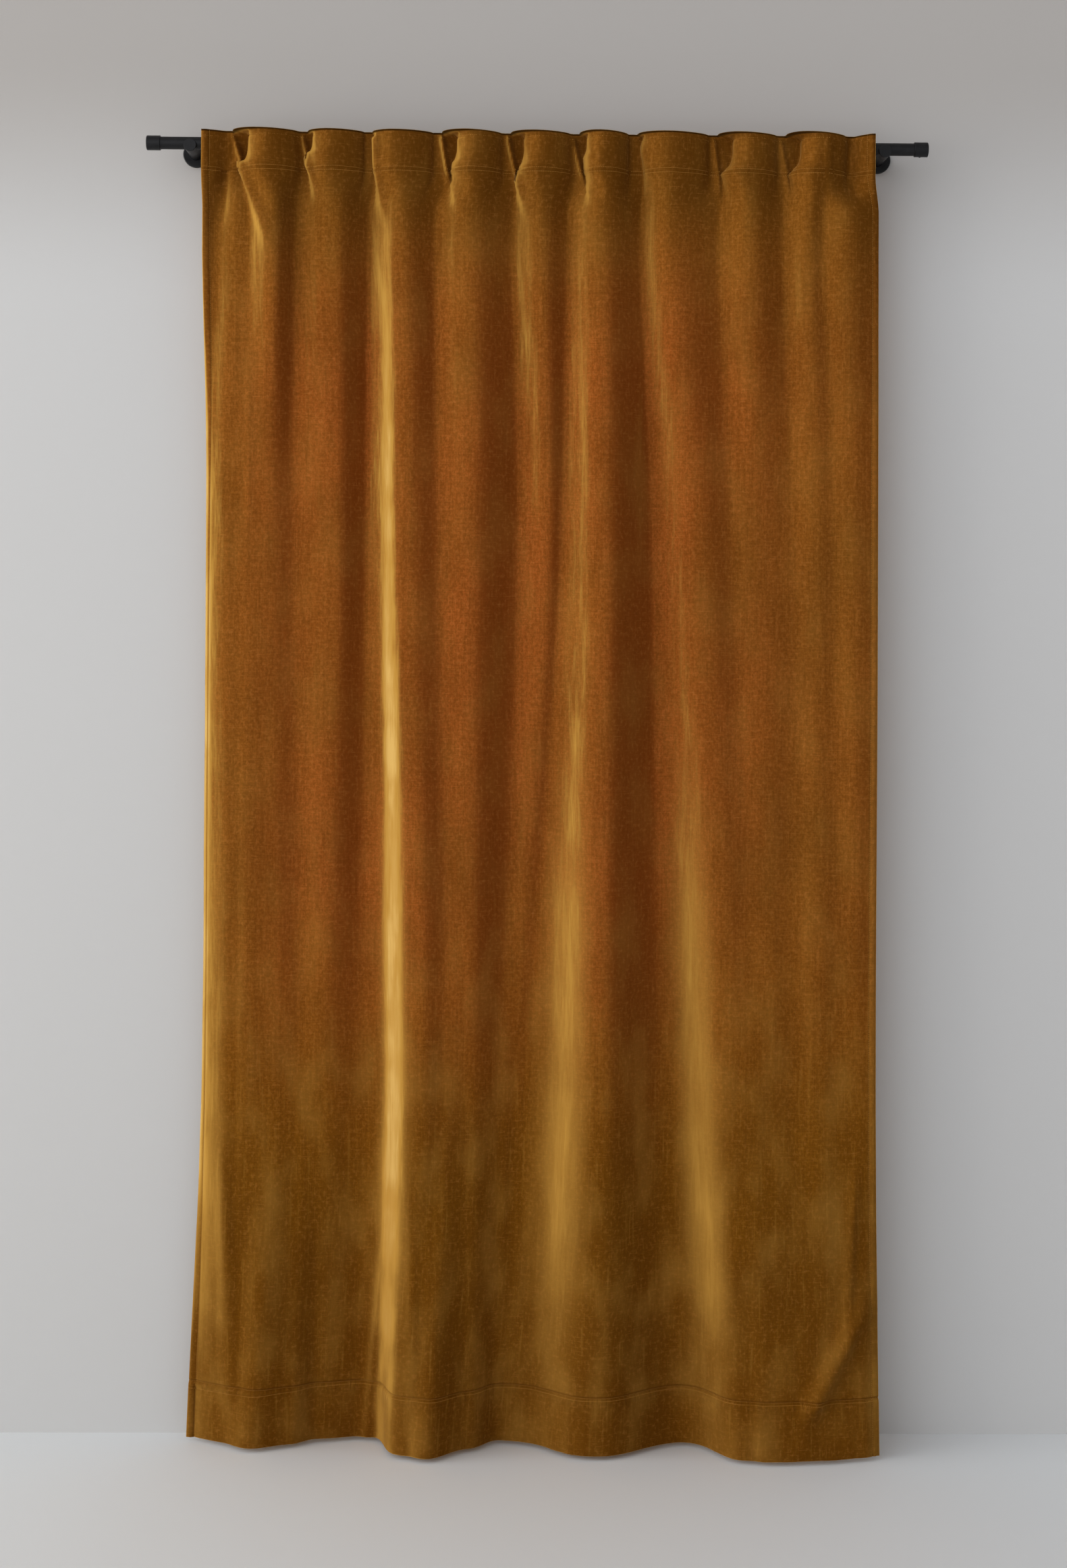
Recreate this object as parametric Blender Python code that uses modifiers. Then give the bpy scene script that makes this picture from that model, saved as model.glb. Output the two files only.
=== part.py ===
"""A velvet curtain panel hanging from a round rod in two wall brackets.

The frame's origin is on the wall plane, midway between the brackets, at the height of
their arms. +X runs along the rod to the right, +Y into the wall and +Z up. The panel is
one sheet of cloth: FOLDS gives its folds at four heights, and every level section of the
cloth is a smooth curve through them.
"""

import math

import bmesh
import bpy
import numpy as np

# Driving sizes, in metres
ROD_RADIUS = 0.012
ROD_WALL = 0.0012
ROD_LENGTH = 1.484
ROD_FROM_WALL = 0.082
ROD_ABOVE_ARM = 0.006
CAP_RADIUS = 0.014
CAP_LENGTH = 0.026
CAP_END = 0.003
CAP_ROUND = 0.0015
CAP_MOUTH = 0.0004
ARM_RADIUS = 0.012
ARM_LIP = 0.0037
ARM_CHAMFER = 0.0006
CRADLE_CUT = 0.06
SLOT_HEIGHT = 0.02
BRACKET_X = 0.6614
PLATE_RADIUS = 0.026
PLATE_THICKNESS = 0.006
PLATE_SEAT = 0.001
PLATE_ROUND = 0.002
FIT_GAP = 0.0003

DROP = 2.50
TOP_ABOVE_ARM = 0.0268
CREST_LIFT = 0.002
CLOTH = 0.002
HEM_CLOTH = 0.0032
HEADING = 0.076
BOTTOM_HEM = 0.108
SIDE_HEM = 0.0155
BESIDE_SEAM = 0.003
HELD_GAP = 0.0012
HELD = ROD_RADIUS + HELD_GAP + HEM_CLOTH
HELD_FLAT = 0.008
CREST_DEPTH = 0.035
FREE_FROM = 0.20
ARCH_FULLNESS = 0.6
ARCHED = 0.7
SHOULDER = 0.7

TAB_WIDTH = 0.014
TAB_CLOTH = 0.0014
TAB_GAP = 0.0004
TAB_FROM_TOP = 0.0015
TAB_SEWN = 0.003
TAB_LOWER_END = 0.002
TAB_LOWER_SEWN = 0.007
TAB_LEAVES = 0.0007

ROUND_STEPS = 40
MERGE = 0.00001
TAB_STEPS = 12
COLUMNS_PER_ARCH = 11
COLUMNS_AT_EDGE = 2
EDGE_STRIP = 0.08
SECTION_STEPS = 24
ROUNDING_POINTS = 740
ROUNDING = 3

# The heading is pinched to the rod at ten loops, and the cloth between two loops stands
# out in an arch. One row for each pinch: its place along the rod, and how far the arch
# to its right stands in front of the rod's axis. The ends are free edges.
#   pinch         x      arch
PINCHES = (
    ("left_end", -0.638, 0.030),
    ("pinch_1",  -0.588, 0.050),
    ("pinch_2",  -0.446, 0.045),
    ("pinch_3",  -0.323, 0.044),
    ("pinch_4",  -0.192, 0.050),
    ("pinch_5",  -0.061, 0.048),
    ("pinch_6",   0.070, 0.054),
    ("pinch_7",   0.180, 0.050),
    ("pinch_8",   0.332, 0.049),
    ("pinch_9",   0.462, 0.056),
    ("pinch_10",  0.594, 0.040),
    ("right_end", 0.639, 0.040),
)

# Below the heading the cloth hangs in long folds. One row for each fold line, from the
# left edge to the right one: x is its place along the rod and d how far its cloth lies
# in front of the rod's axis, at four levels below the top edge. A foot is the hollow at
# the left of a fold, and the ridge beside it is where the fold stands out. The bow says
# how far the rise up to that line is bowed out, or in where it is below 0, and the core
# which share of that rise is steep.
FOLD_LEVELS = (0.23, 0.71, 1.75, DROP)
#   fold            bow  core   x_top   d_top    x_upper d_upper   x_lower d_lower   x_hem   d_hem
FOLDS = (
    ("left_edge",    0.0, 1.0,  -0.637,  0.016,  -0.631, -0.014,  -0.634, -0.024,  -0.660, -0.036),
    ("edge_foot",    0.0, 1.0,  -0.612,  0.008,  -0.629, -0.013,  -0.632, -0.023,  -0.623, -0.026),
    ("edge_ridge",   0.9, 1.0,  -0.554,  0.032,  -0.575,  0.010,  -0.573,  0.004,  -0.582, -0.008),
    ("foot_1",       0.0, 1.0,  -0.546,  0.028,  -0.539,  0.009,  -0.540,  0.003,  -0.572, -0.006),
    ("ridge_1",      0.0, 1.0,  -0.492,  0.053,  -0.505,  0.011,  -0.490,  0.000,  -0.531,  0.022),
    ("foot_2",       0.0, 1.0,  -0.464,  0.016,  -0.462,  0.002,  -0.443, -0.006,  -0.454, -0.001),
    ("ridge_2",      0.2, 1.0,  -0.377,  0.040,  -0.374,  0.018,  -0.396, -0.004,  -0.410, -0.028),
    ("foot_3",       0.0, 1.0,  -0.323,  0.002,  -0.324, -0.010,  -0.322, -0.018,  -0.341, -0.043),
    ("ridge_3",     -0.1, 0.7,  -0.250,  0.044,  -0.237,  0.039,  -0.214,  0.044,  -0.204,  0.070),
    ("foot_4",       0.0, 1.0,  -0.196,  0.018,  -0.186,  0.026,  -0.166,  0.034,  -0.166,  0.063),
    ("ridge_4",      0.2, 1.0,  -0.124,  0.044,  -0.117,  0.040,  -0.117,  0.029,  -0.122,  0.020),
    ("foot_5",       0.0, 1.0,  -0.049,  0.008,  -0.032,  0.002,  -0.053,  0.004,  -0.063, -0.023),
    ("ridge_5",      0.0, 1.0,   0.012,  0.038,   0.029,  0.027,  -0.027, -0.001,  -0.053, -0.022),
    ("foot_6",       0.0, 1.0,   0.056,  0.012,   0.050,  0.015,  -0.007, -0.004,  -0.043, -0.020),
    ("ridge_6",      0.3, 1.0,   0.127,  0.046,   0.135,  0.057,   0.137,  0.058,   0.130,  0.057),
    ("foot_7",       0.0, 1.0,   0.196,  0.004,   0.221,  0.000,   0.247, -0.012,   0.287, -0.014),
    ("ridge_7",      0.2, 1.0,   0.249,  0.038,   0.307,  0.039,   0.370,  0.046,   0.398,  0.076),
    ("foot_8",       0.0, 1.0,   0.345,  0.012,   0.368,  0.027,   0.416,  0.043,   0.431,  0.084),
    ("ridge_8",      0.0, 1.0,   0.406,  0.040,   0.417,  0.033,   0.447,  0.041,   0.471,  0.083),
    ("foot_9",       0.0, 1.0,   0.467,  0.014,   0.487,  0.025,   0.500,  0.037,   0.518,  0.078),
    ("ridge_9",      0.0, 1.0,   0.519,  0.042,   0.535,  0.034,   0.544,  0.041,   0.557,  0.072),
    ("foot_10",      0.0, 1.0,   0.539,  0.034,   0.563,  0.029,   0.582,  0.037,   0.590,  0.067),
    ("ridge_10",     0.0, 1.0,   0.585,  0.048,   0.602,  0.035,   0.617,  0.036,   0.629,  0.062),
    ("right_edge",   0.0, 1.0,   0.649,  0.024,   0.651,  0.027,   0.652,  0.032,   0.660,  0.048),
)

# Levels of the cloth's cross-threads in the model, closer where the shape changes fast
LEVELS = (
    0.0, 0.038, HEADING - BESIDE_SEAM, HEADING + BESIDE_SEAM, 0.115, 0.155, 0.20, 0.26,
    0.35, 0.48, 0.64, 0.82, 1.02, 1.24, 1.46, 1.68, 1.89, 2.07, 2.21, 2.31,
    DROP - BOTTOM_HEM - BESIDE_SEAM, DROP - BOTTOM_HEM + BESIDE_SEAM, 2.45, DROP,
)


def clear_scene():
    for old in list(bpy.data.objects):
        bpy.data.objects.remove(old, do_unlink=True)


def new_collection(name):
    collection = bpy.data.collections.new(name)
    bpy.context.scene.collection.children.link(collection)
    return collection


def finish(name, color, roughness, metallic=0.0):
    material = bpy.data.materials.new(name)
    material.use_nodes = True
    shader = material.node_tree.nodes["Principled BSDF"]
    shader.inputs["Base Color"].default_value = (*color, 1)
    shader.inputs["Roughness"].default_value = roughness
    shader.inputs["Metallic"].default_value = metallic
    return material


def add_object(name, mesh, collection, material=None):
    obj = bpy.data.objects.new(name, mesh)
    collection.objects.link(obj)
    if material:
        mesh.materials.append(material)
    return obj


# Smooth curves through the fold lines


def curve_slopes(at, values):
    """Slopes of a curve through the values that adds no bump between them."""
    step = np.diff(at)
    rise = np.diff(values, axis=0) / step[:, None]
    slopes = np.zeros_like(values)
    slopes[0], slopes[-1] = rise[0], rise[-1]
    before, after = step[:-1, None], step[1:, None]
    weight_a, weight_b = 2 * after + before, after + 2 * before
    same_way = rise[:-1] * rise[1:] > 0
    safe_a = np.where(same_way, rise[:-1], 1)
    safe_b = np.where(same_way, rise[1:], 1)
    mean = (weight_a + weight_b) / (weight_a / safe_a + weight_b / safe_b)
    slopes[1:-1] = np.where(same_way, mean, 0)
    return slopes


def smooth_curve(at, values, where):
    """Points of the smooth curve through values, given at the places at."""
    at, where = np.asarray(at, float), np.asarray(where, float)
    slopes = curve_slopes(at, values)
    span = np.clip(np.searchsorted(at, where, side="right") - 1, 0, len(at) - 2)
    step = (at[span + 1] - at[span])[:, None]
    t = (where - at[span])[:, None] / step
    start = values[span] * (1 + 2 * t) * (1 - t) ** 2 + slopes[span] * step * t * (1 - t) ** 2
    end = values[span + 1] * t**2 * (3 - 2 * t) + slopes[span + 1] * step * t**2 * (t - 1)
    return start + end


def ease(t):
    t = np.clip(t, 0, 1)
    return t * t * (3 - 2 * t)


def heading_section():
    """Points (x, d) along the pinched heading, close together, left to right."""
    points = []
    for (_, start, arch), (_, end, _) in zip(PINCHES, PINCHES[1:]):
        first, last = start == PINCHES[0][1], end == PINCHES[-1][1]
        low = start if first else start + HELD_FLAT
        high = end if last else end - HELD_FLAT
        points.append((start, arch if first else HELD))
        for t in np.linspace(0, 1, 2 * SECTION_STEPS):
            if first:
                rise = math.cos(t * math.pi / 2)
            elif last:
                rise = math.sin(t * math.pi / 2)
            else:
                rise = math.sin(t * math.pi) ** ARCH_FULLNESS
            points.append((low + (high - low) * t, HELD + (arch - HELD) * rise))
    return np.array(points)


def body_section(level):
    """Points (x, d) along the cloth at one level below the heading.

    Near the top each fold is an arch that springs from its foot, as the heading's arches
    do. Lower down the cloth runs into the hollow and out of it in an even curve.
    """
    rows = np.array([row[3:] for row in FOLDS])
    bends = [row[1:3] for row in FOLDS[1:]]
    at = [min(max(level, FOLD_LEVELS[0]), FOLD_LEVELS[-1])]
    values = rows.reshape(len(FOLDS), -1, 2).transpose(1, 0, 2).reshape(len(FOLD_LEVELS), -1)
    lines = smooth_curve(FOLD_LEVELS, values, at).reshape(-1, 2)
    fading = (level - FOLD_LEVELS[0]) / (FOLD_LEVELS[2] - FOLD_LEVELS[0])
    arched = ARCHED * (1 - ease(fading))
    t = np.linspace(0, 1, SECTION_STEPS, endpoint=False)
    out, hollow = np.sin(t * math.pi / 2), 1 - np.cos(t * math.pi / 2)
    points = []
    for (x, d), (next_x, next_d), (bow, core) in zip(lines, lines[1:], bends):
        steep = ease(ease((t - 0.5) / core + 0.5))
        even = steep + SHOULDER * (1 - core) * (ease(t) - steep) if next_d > d else ease(t)
        rise = even + arched * ((out if next_d > d else hollow) - even)
        rise += (1 - arched) * abs(bow) * ((out if bow > 0 else hollow) - even)
        points.append(np.stack([x + (next_x - x) * t, d + (next_d - d) * rise], axis=1))
    return rounded(np.concatenate(points + [lines[-1:]]))


def rounded(points):
    """The section with its tight hollows eased to a bend that the cloth can take."""
    spaced = at_shares(points, np.linspace(0, 1, ROUNDING_POINTS))
    reach = 3 * ROUNDING
    weights = np.exp(-0.5 * (np.arange(-reach, reach + 1) / ROUNDING) ** 2)
    weights /= weights.sum()
    soft = np.empty_like(spaced)
    for i in (0, 1):
        line = spaced[:, i]
        before = 2 * line[0] - line[reach:0:-1]
        after = 2 * line[-1] - line[-2 : -reach - 2 : -1]
        soft[:, i] = np.convolve(np.concatenate([before, line, after]), weights, "valid")
    return soft


def lengths_along(points):
    steps = np.linalg.norm(np.diff(points, axis=0), axis=1)
    return np.concatenate([[0], np.cumsum(steps)])


def at_shares(points, shares):
    """The points at these shares of the section's length: the same threads at each level."""
    lengths = lengths_along(points)
    where = np.asarray(shares) * lengths[-1]
    return np.stack([np.interp(where, lengths, points[:, i]) for i in (0, 1)], axis=1)


def cloth_points(level, shares):
    """(x, d) of the lengthwise threads at this level: heading above, long folds below."""
    head = at_shares(heading_section(), shares)
    body = at_shares(body_section(level), shares)
    return head + ease((level - HEADING) / (FREE_FROM - HEADING)) * (body - head)


def flat_places():
    """Places of the model's lengthwise threads across the flat cloth, 0 to its width."""
    points = heading_section()
    lengths = lengths_along(points)
    pinches = [np.interp(row[1], points[:, 0], lengths) for row in PINCHES[1:-1]]
    width = lengths[-1]
    stops = [0, SIDE_HEM] + pinches + [width - SIDE_HEM, width]
    places = [0]
    for start, end in zip(stops, stops[1:]):
        count = COLUMNS_PER_ARCH if end - start > EDGE_STRIP else COLUMNS_AT_EDGE
        places.extend(np.linspace(start, end, count + 1)[1:])
    return np.array(places)


def build_drape(collection, material):
    """One velvet panel: its front face on the folds, its thickness behind."""
    places = flat_places()
    columns = len(places)
    mesh = bpy.data.meshes.new("drape")
    cloth = bmesh.new()
    bmesh.ops.create_grid(
        cloth, x_segments=columns - 1, y_segments=len(LEVELS) - 1, size=1
    )
    corners = sorted(cloth.verts, key=lambda v: (-round(v.co.y, 5), v.co.x))
    doubled = []
    for i, level in enumerate(LEVELS):
        x, d = cloth_points(level, places / places[-1]).T
        lift = CREST_LIFT * np.clip((d - HELD) / CREST_DEPTH, 0, 1) * (level < HEADING)
        for j in range(columns):
            corner = corners[i * columns + j]
            z = TOP_ABOVE_ARM - level + lift[j]
            corner.co = (x[j], -ROD_FROM_WALL - d[j], z)
            in_side_hem = places[j] <= SIDE_HEM or places[j] >= places[-1] - SIDE_HEM
            in_heading = level <= HEADING - BESIDE_SEAM
            in_bottom_hem = level >= DROP - BOTTOM_HEM + BESIDE_SEAM
            if in_side_hem or in_heading or in_bottom_hem:
                doubled.append(corner)
    cloth.normal_update()
    if sum(face.normal.y for face in cloth.faces) > 0:
        bmesh.ops.reverse_faces(cloth, faces=cloth.faces)
    cloth.verts.index_update()
    doubled = [corner.index for corner in doubled]
    cloth.to_mesh(mesh)
    cloth.free()
    obj = add_object("drape", mesh, collection, material)
    hems = obj.vertex_groups.new(name="hems")
    hems.add(doubled, 1, "REPLACE")
    mesh.shade_smooth()
    solidify = obj.modifiers.new("thickness", "SOLIDIFY")
    solidify.thickness = HEM_CLOTH
    solidify.offset = -1
    solidify.vertex_group = "hems"
    solidify.thickness_vertex_group = CLOTH / HEM_CLOTH
    return obj


def build_tab(name, x, collection, material):
    """A webbing loop: sewn to the heading above the rod, round its back, sewn below."""
    radius = ROD_RADIUS + TAB_GAP + TAB_CLOTH / 2
    sewn_y = -HELD + HEM_CLOTH + TAB_GAP + TAB_CLOTH / 2
    top = TOP_ABOVE_ARM - ROD_ABOVE_ARM
    bottom = top - HEADING + TAB_LOWER_END
    stitched = top - TAB_FROM_TOP - TAB_SEWN
    upper = [
        (sewn_y, top - TAB_FROM_TOP),
        (sewn_y, stitched),
        (sewn_y + TAB_LEAVES, stitched - 2 * TAB_LEAVES),
    ]
    lower = [
        (sewn_y + TAB_LEAVES, bottom + TAB_LOWER_SEWN + TAB_SEWN),
        (sewn_y, bottom + TAB_LOWER_SEWN),
        (sewn_y, bottom),
    ]
    leave = touch_angle(upper[-1], radius, -1)
    meet = touch_angle(lower[0], radius, 1)
    turns = [
        (radius * math.cos(angle), radius * math.sin(angle))
        for angle in np.linspace(leave, meet, TAB_STEPS)
    ]
    mesh = bpy.data.meshes.new(name)
    strip = bmesh.new()
    edge = [
        strip.verts.new((x - TAB_WIDTH / 2, y - ROD_FROM_WALL, z + ROD_ABOVE_ARM))
        for y, z in upper + turns + lower
    ]
    sides = [strip.edges.new(pair) for pair in zip(edge, edge[1:])]
    swept = bmesh.ops.extrude_edge_only(strip, edges=sides)
    moved = [part for part in swept["geom"] if isinstance(part, bmesh.types.BMVert)]
    bmesh.ops.translate(strip, verts=moved, vec=(TAB_WIDTH, 0, 0))
    strip.to_mesh(mesh)
    strip.free()
    obj = add_object(name, mesh, collection, material)
    mesh.shade_smooth()
    solidify = obj.modifiers.new("thickness", "SOLIDIFY")
    solidify.thickness = TAB_CLOTH
    solidify.offset = 0
    return obj


def touch_angle(point, radius, side):
    """Angle at which a line from the point touches a circle round the rod's axis."""
    away = math.hypot(*point)
    return math.atan2(point[1], point[0]) + side * math.acos(radius / away)


def turned(name, profile, collection, material, closed):
    """A turned piece: a profile of (radius, height) spun about its own Z axis."""
    mesh = bpy.data.meshes.new(name)
    outline = bmesh.new()
    corners = [outline.verts.new((r, 0, z)) for r, z in profile]
    for pair in zip(corners, corners[1:] + corners[:1] if closed else corners[1:]):
        outline.edges.new(pair)
    outline.to_mesh(mesh)
    outline.free()
    obj = add_object(name, mesh, collection, material)
    screw = obj.modifiers.new("turn", "SCREW")
    screw.steps = ROUND_STEPS
    screw.render_steps = ROUND_STEPS
    screw.use_merge_vertices = True
    screw.merge_threshold = MERGE
    screw.use_smooth_shade = True
    return obj


def round_corner(r, z, radius, start, end, steps):
    """Points of a small arc about (r, z)."""
    angles = np.radians(np.linspace(start, end, steps))
    return [(r + radius * math.cos(a), z + radius * math.sin(a)) for a in angles]


def build_rod(collection, material):
    half = ROD_LENGTH / 2
    inner = ROD_RADIUS - ROD_WALL
    profile = [(ROD_RADIUS, half), (ROD_RADIUS, -half), (inner, -half), (inner, half)]
    rod = turned("rod", profile, collection, material, closed=True)
    rod.location = (0, -ROD_FROM_WALL, ROD_ABOVE_ARM)
    rod.rotation_euler = (0, math.pi / 2, 0)


def build_cap(name, side, collection, material):
    """A cup pushed over the tube's end, its open end towards the bracket."""
    inner = ROD_RADIUS + FIT_GAP
    tip = CAP_END + FIT_GAP
    mouth = tip - CAP_LENGTH
    crown = tip - CAP_ROUND
    profile = (
        [(0, tip)]
        + round_corner(CAP_RADIUS - CAP_ROUND, crown, CAP_ROUND, 90, 0, 4)
        + [(CAP_RADIUS, mouth + CAP_MOUTH), (CAP_RADIUS - CAP_MOUTH, mouth)]
        + [(inner, mouth), (inner, FIT_GAP), (0, FIT_GAP)]
    )
    cap = turned(name, profile, collection, material, closed=False)
    cap.location = (side * ROD_LENGTH / 2, -ROD_FROM_WALL, ROD_ABOVE_ARM)
    cap.rotation_euler = (0, side * math.pi / 2, 0)


def build_plate(name, side, collection, material):
    """A round wall plate, flat at the back, with a shallow seat for the arm."""
    seat = ARM_RADIUS + FIT_GAP
    floor = PLATE_THICKNESS - PLATE_SEAT
    crown = PLATE_THICKNESS - PLATE_ROUND
    profile = (
        [(0, floor), (seat, floor), (seat, PLATE_THICKNESS)]
        + round_corner(PLATE_RADIUS - PLATE_ROUND, crown, PLATE_ROUND, 90, 0, 5)
        + [(PLATE_RADIUS, 0), (0, 0)]
    )
    plate = turned(name, profile, collection, material, closed=False)
    plate.location = (side * BRACKET_X, 0, 0)
    plate.rotation_euler = (math.pi / 2, 0, 0)


def build_arm(name, side, collection, cutters, material):
    """A round bar from the plate, with a cradle open at the top for the rod."""
    foot = PLATE_THICKNESS - PLATE_SEAT + FIT_GAP
    tip = ROD_FROM_WALL + ROD_RADIUS + FIT_GAP + ARM_LIP
    profile = [
        (0, tip),
        (ARM_RADIUS - ARM_CHAMFER, tip),
        (ARM_RADIUS, tip - ARM_CHAMFER),
        (ARM_RADIUS, foot),
        (0, foot),
    ]
    arm = turned(name, profile, collection, material, closed=False)
    arm.location = (side * BRACKET_X, 0, 0)
    arm.rotation_euler = (math.pi / 2, 0, 0)
    radius = ROD_RADIUS + FIT_GAP
    half = CRADLE_CUT / 2
    cradle = turned(
        name + "_cradle",
        [(0, half), (radius, half), (radius, -half), (0, -half)],
        cutters,
        None,
        closed=False,
    )
    cradle.location = (side * BRACKET_X, -ROD_FROM_WALL, ROD_ABOVE_ARM)
    cradle.rotation_euler = (0, math.pi / 2, 0)
    bpy.ops.mesh.primitive_cube_add(size=1)
    slot = bpy.context.object
    slot.name = name + "_slot"
    slot.scale = (CRADLE_CUT, 2 * radius, SLOT_HEIGHT)
    slot.location = (side * BRACKET_X, -ROD_FROM_WALL, ROD_ABOVE_ARM + SLOT_HEIGHT / 2)
    for old in list(slot.users_collection):
        old.objects.unlink(slot)
    cutters.objects.link(slot)
    for cutter in (cradle, slot):
        cutter.hide_render = True
        cutter.display_type = "WIRE"
        cut = arm.modifiers.new("cut_" + cutter.name, "BOOLEAN")
        cut.operation = "DIFFERENCE"
        cut.solver = "EXACT"
        cut.object = cutter


def main():
    clear_scene()
    parts = new_collection("velvet_curtain_on_rod")
    cutters = new_collection("cutters")
    velvet = finish("ochre_velvet", (0.30, 0.135, 0.022), 0.85)
    webbing = finish("cotton_webbing", (0.42, 0.25, 0.07), 0.9)
    black = finish("black_powder_coat", (0.012, 0.012, 0.014), 0.45, 0.3)
    build_drape(parts, velvet)
    for number, row in enumerate(PINCHES[1:-1], 1):
        build_tab(f"tab_{number:02d}", row[1], parts, webbing)
    build_rod(parts, black)
    for side, word in ((-1, "left"), (1, "right")):
        build_cap("cap_" + word, side, parts, black)
        build_plate("plate_" + word, side, parts, black)
        build_arm("arm_" + word, side, parts, cutters, black)


main()
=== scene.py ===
"""A velvet curtain panel hanging from a round black rod in two wall brackets.

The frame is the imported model's: metres, +X along the rod to the right, +Y into the wall,
+Z up, and the origin on the wall midway between the brackets at the height of their arms.
"""

import math

import bmesh
import bpy
import numpy as np
from mathutils import Matrix, Vector, noise


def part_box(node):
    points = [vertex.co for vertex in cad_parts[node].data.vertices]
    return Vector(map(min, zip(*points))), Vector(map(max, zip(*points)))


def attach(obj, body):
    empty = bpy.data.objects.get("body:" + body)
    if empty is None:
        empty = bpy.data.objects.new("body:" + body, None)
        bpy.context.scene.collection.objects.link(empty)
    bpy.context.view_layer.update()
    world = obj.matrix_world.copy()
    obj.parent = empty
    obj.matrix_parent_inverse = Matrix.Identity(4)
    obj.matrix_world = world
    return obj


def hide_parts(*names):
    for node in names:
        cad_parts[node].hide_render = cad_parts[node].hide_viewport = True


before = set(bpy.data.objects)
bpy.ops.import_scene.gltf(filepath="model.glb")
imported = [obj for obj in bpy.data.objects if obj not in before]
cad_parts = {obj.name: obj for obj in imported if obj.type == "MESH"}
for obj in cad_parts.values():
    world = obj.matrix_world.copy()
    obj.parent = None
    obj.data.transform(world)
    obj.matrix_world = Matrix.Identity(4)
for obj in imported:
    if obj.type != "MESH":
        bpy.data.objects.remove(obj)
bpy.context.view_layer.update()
scene = bpy.context.scene


# Camera. It stands 4.3 m in front of the panel, level, a little left of its middle and
# lower than the rod. The lens is shifted down, so that upright lines stay upright.
CAMERA_PLACE = (-0.0595, -4.3233, -0.8300)
CAMERA_TURN = 0.0132
CAMERA_ROLL = 0.0065
SENSOR_HEIGHT = 36
LENS = 51.01
LENS_DROP = -0.1274

camera_data = bpy.data.cameras.new("camera")
camera_data.sensor_fit = "VERTICAL"
camera_data.sensor_height = SENSOR_HEIGHT
camera_data.lens = LENS
camera_data.shift_y = LENS_DROP
camera = bpy.data.objects.new("camera", camera_data)
scene.collection.objects.link(camera)
camera.location = CAMERA_PLACE
level = Matrix.Rotation(-CAMERA_TURN, 3, "Z") @ Matrix.Rotation(math.pi / 2, 3, "X")
camera.rotation_euler = (level @ Matrix.Rotation(CAMERA_ROLL, 3, "Z")).to_euler()
scene.camera = camera


# The velvet panel's shape. It is one width of cotton velvet, cut flat, hemmed on all four
# sides and hung by ten loops sewn behind its heading. The heading is pinched to the rod at
# the loops and stands out in arches between them, and below it the cloth hangs in folds.
DROP = 2.50
HEADING = 0.076
BOTTOM_HEM = 0.108
SIDE_HEM = 0.0155
CLOTH = 0.002
HEM_CLOTH = 0.0032

ROD_FROM_WALL = 0.082
ROD_RADIUS = 0.012
HELD_GAP = 0.0012
TOP_ABOVE_ARM = 0.0268

# At a pinch the cloth is held flat against its loop on the rod. The arches between stand
# full in the heading and slacker below it, lean to one side, and lift the top edge a
# little. The body's folds take over from the heading's arches down to FREE_FROM, as arches
# themselves near the top, and a last pass rounds each section.
HELD = ROD_RADIUS + HELD_GAP + HEM_CLOTH
HELD_FLAT = 0.008
CREST_LIFT = 0.002
CREST_DEPTH = 0.035
ARCH_FULLNESS = 0.6
ARCH_SLACK = 0.50
ARCH_LEAN = 0.72
FREE_FROM = 0.15
SECTION_STEPS = 24
ARCHED = 0.7
SHOULDER = 0.7
ROUNDING_POINTS = 740
ROUNDING = 3

#   pinch         x      arch: how far the cloth to its right stands in front of the rod
PINCHES = (
    ("left_end", -0.638, 0.030),
    ("pinch_1",  -0.588, 0.050),
    ("pinch_2",  -0.446, 0.045),
    ("pinch_3",  -0.323, 0.044),
    ("pinch_4",  -0.192, 0.050),
    ("pinch_5",  -0.061, 0.048),
    ("pinch_6",   0.070, 0.054),
    ("pinch_7",   0.180, 0.050),
    ("pinch_8",   0.332, 0.049),
    ("pinch_9",   0.462, 0.056),
    ("pinch_10",  0.594, 0.040),
    ("right_end", 0.639, 0.040),
)

# Each arch springs from the rod beyond a small pocket beside its pinch. The pocket is wide
# at the top edge and closes to a tip above the heading seam. One row for each: the pocket's
# left side and rim, its tip and how far down that is, and the arch's spring further down.
SPRINGS_LOW = 0.15
POCKET_START = 0.001
POCKET_OPENS = 0.009
POCKET_DEEPENS = 0.007
POCKET_THIN = 0.0005
POCKET_LEFT_WALL = 0.45
POCKET_RIGHT_WALL = (0.95, 0.25)
#   pinch        x_left   x_rim   x_tip   reach   x_seam   x_low
POCKETS = (
    ("pinch_1",    -0.575,  -0.548,  -0.560,  0.061,  -0.557,  -0.531),
    ("pinch_2",    -0.443,  -0.427,  -0.436,  0.042,  -0.434,  -0.415),
    ("pinch_3",    -0.313,  -0.309,  -0.308,  0.036,  -0.304,  -0.293),
    ("pinch_4",    -0.175,  -0.152,  -0.163,  0.058,  -0.166,  -0.132),
    ("pinch_5",    -0.054,  -0.026,  -0.035,  0.063,  -0.039,  -0.025),
    ("pinch_6",     0.072,   0.093,   0.086,  0.045,   0.088,   0.126),
    ("pinch_7",     0.189,   0.200,   0.198,  0.035,   0.200,   0.207),
    ("pinch_8",     0.336,   0.371,   0.362,  0.062,   0.348,   0.371),
    ("pinch_9",     0.466,   0.501,   0.490,  0.062,   0.478,   0.501),
    ("pinch_10",    0.585,   0.598,   0.595,  0.036,   0.599,   0.601),
)

# Each long fold rises from a foot, its hollow on the left, to a ridge. One row for each
# fold line: its place along the rod and its distance in front of the rod at four levels.
# The bow says how far the rise up to that line is bowed out, or in where it is below 0, and
# the core which share of that rise is steep.
FOLD_LEVELS = (0.23, 0.71, 1.75, DROP)
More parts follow.
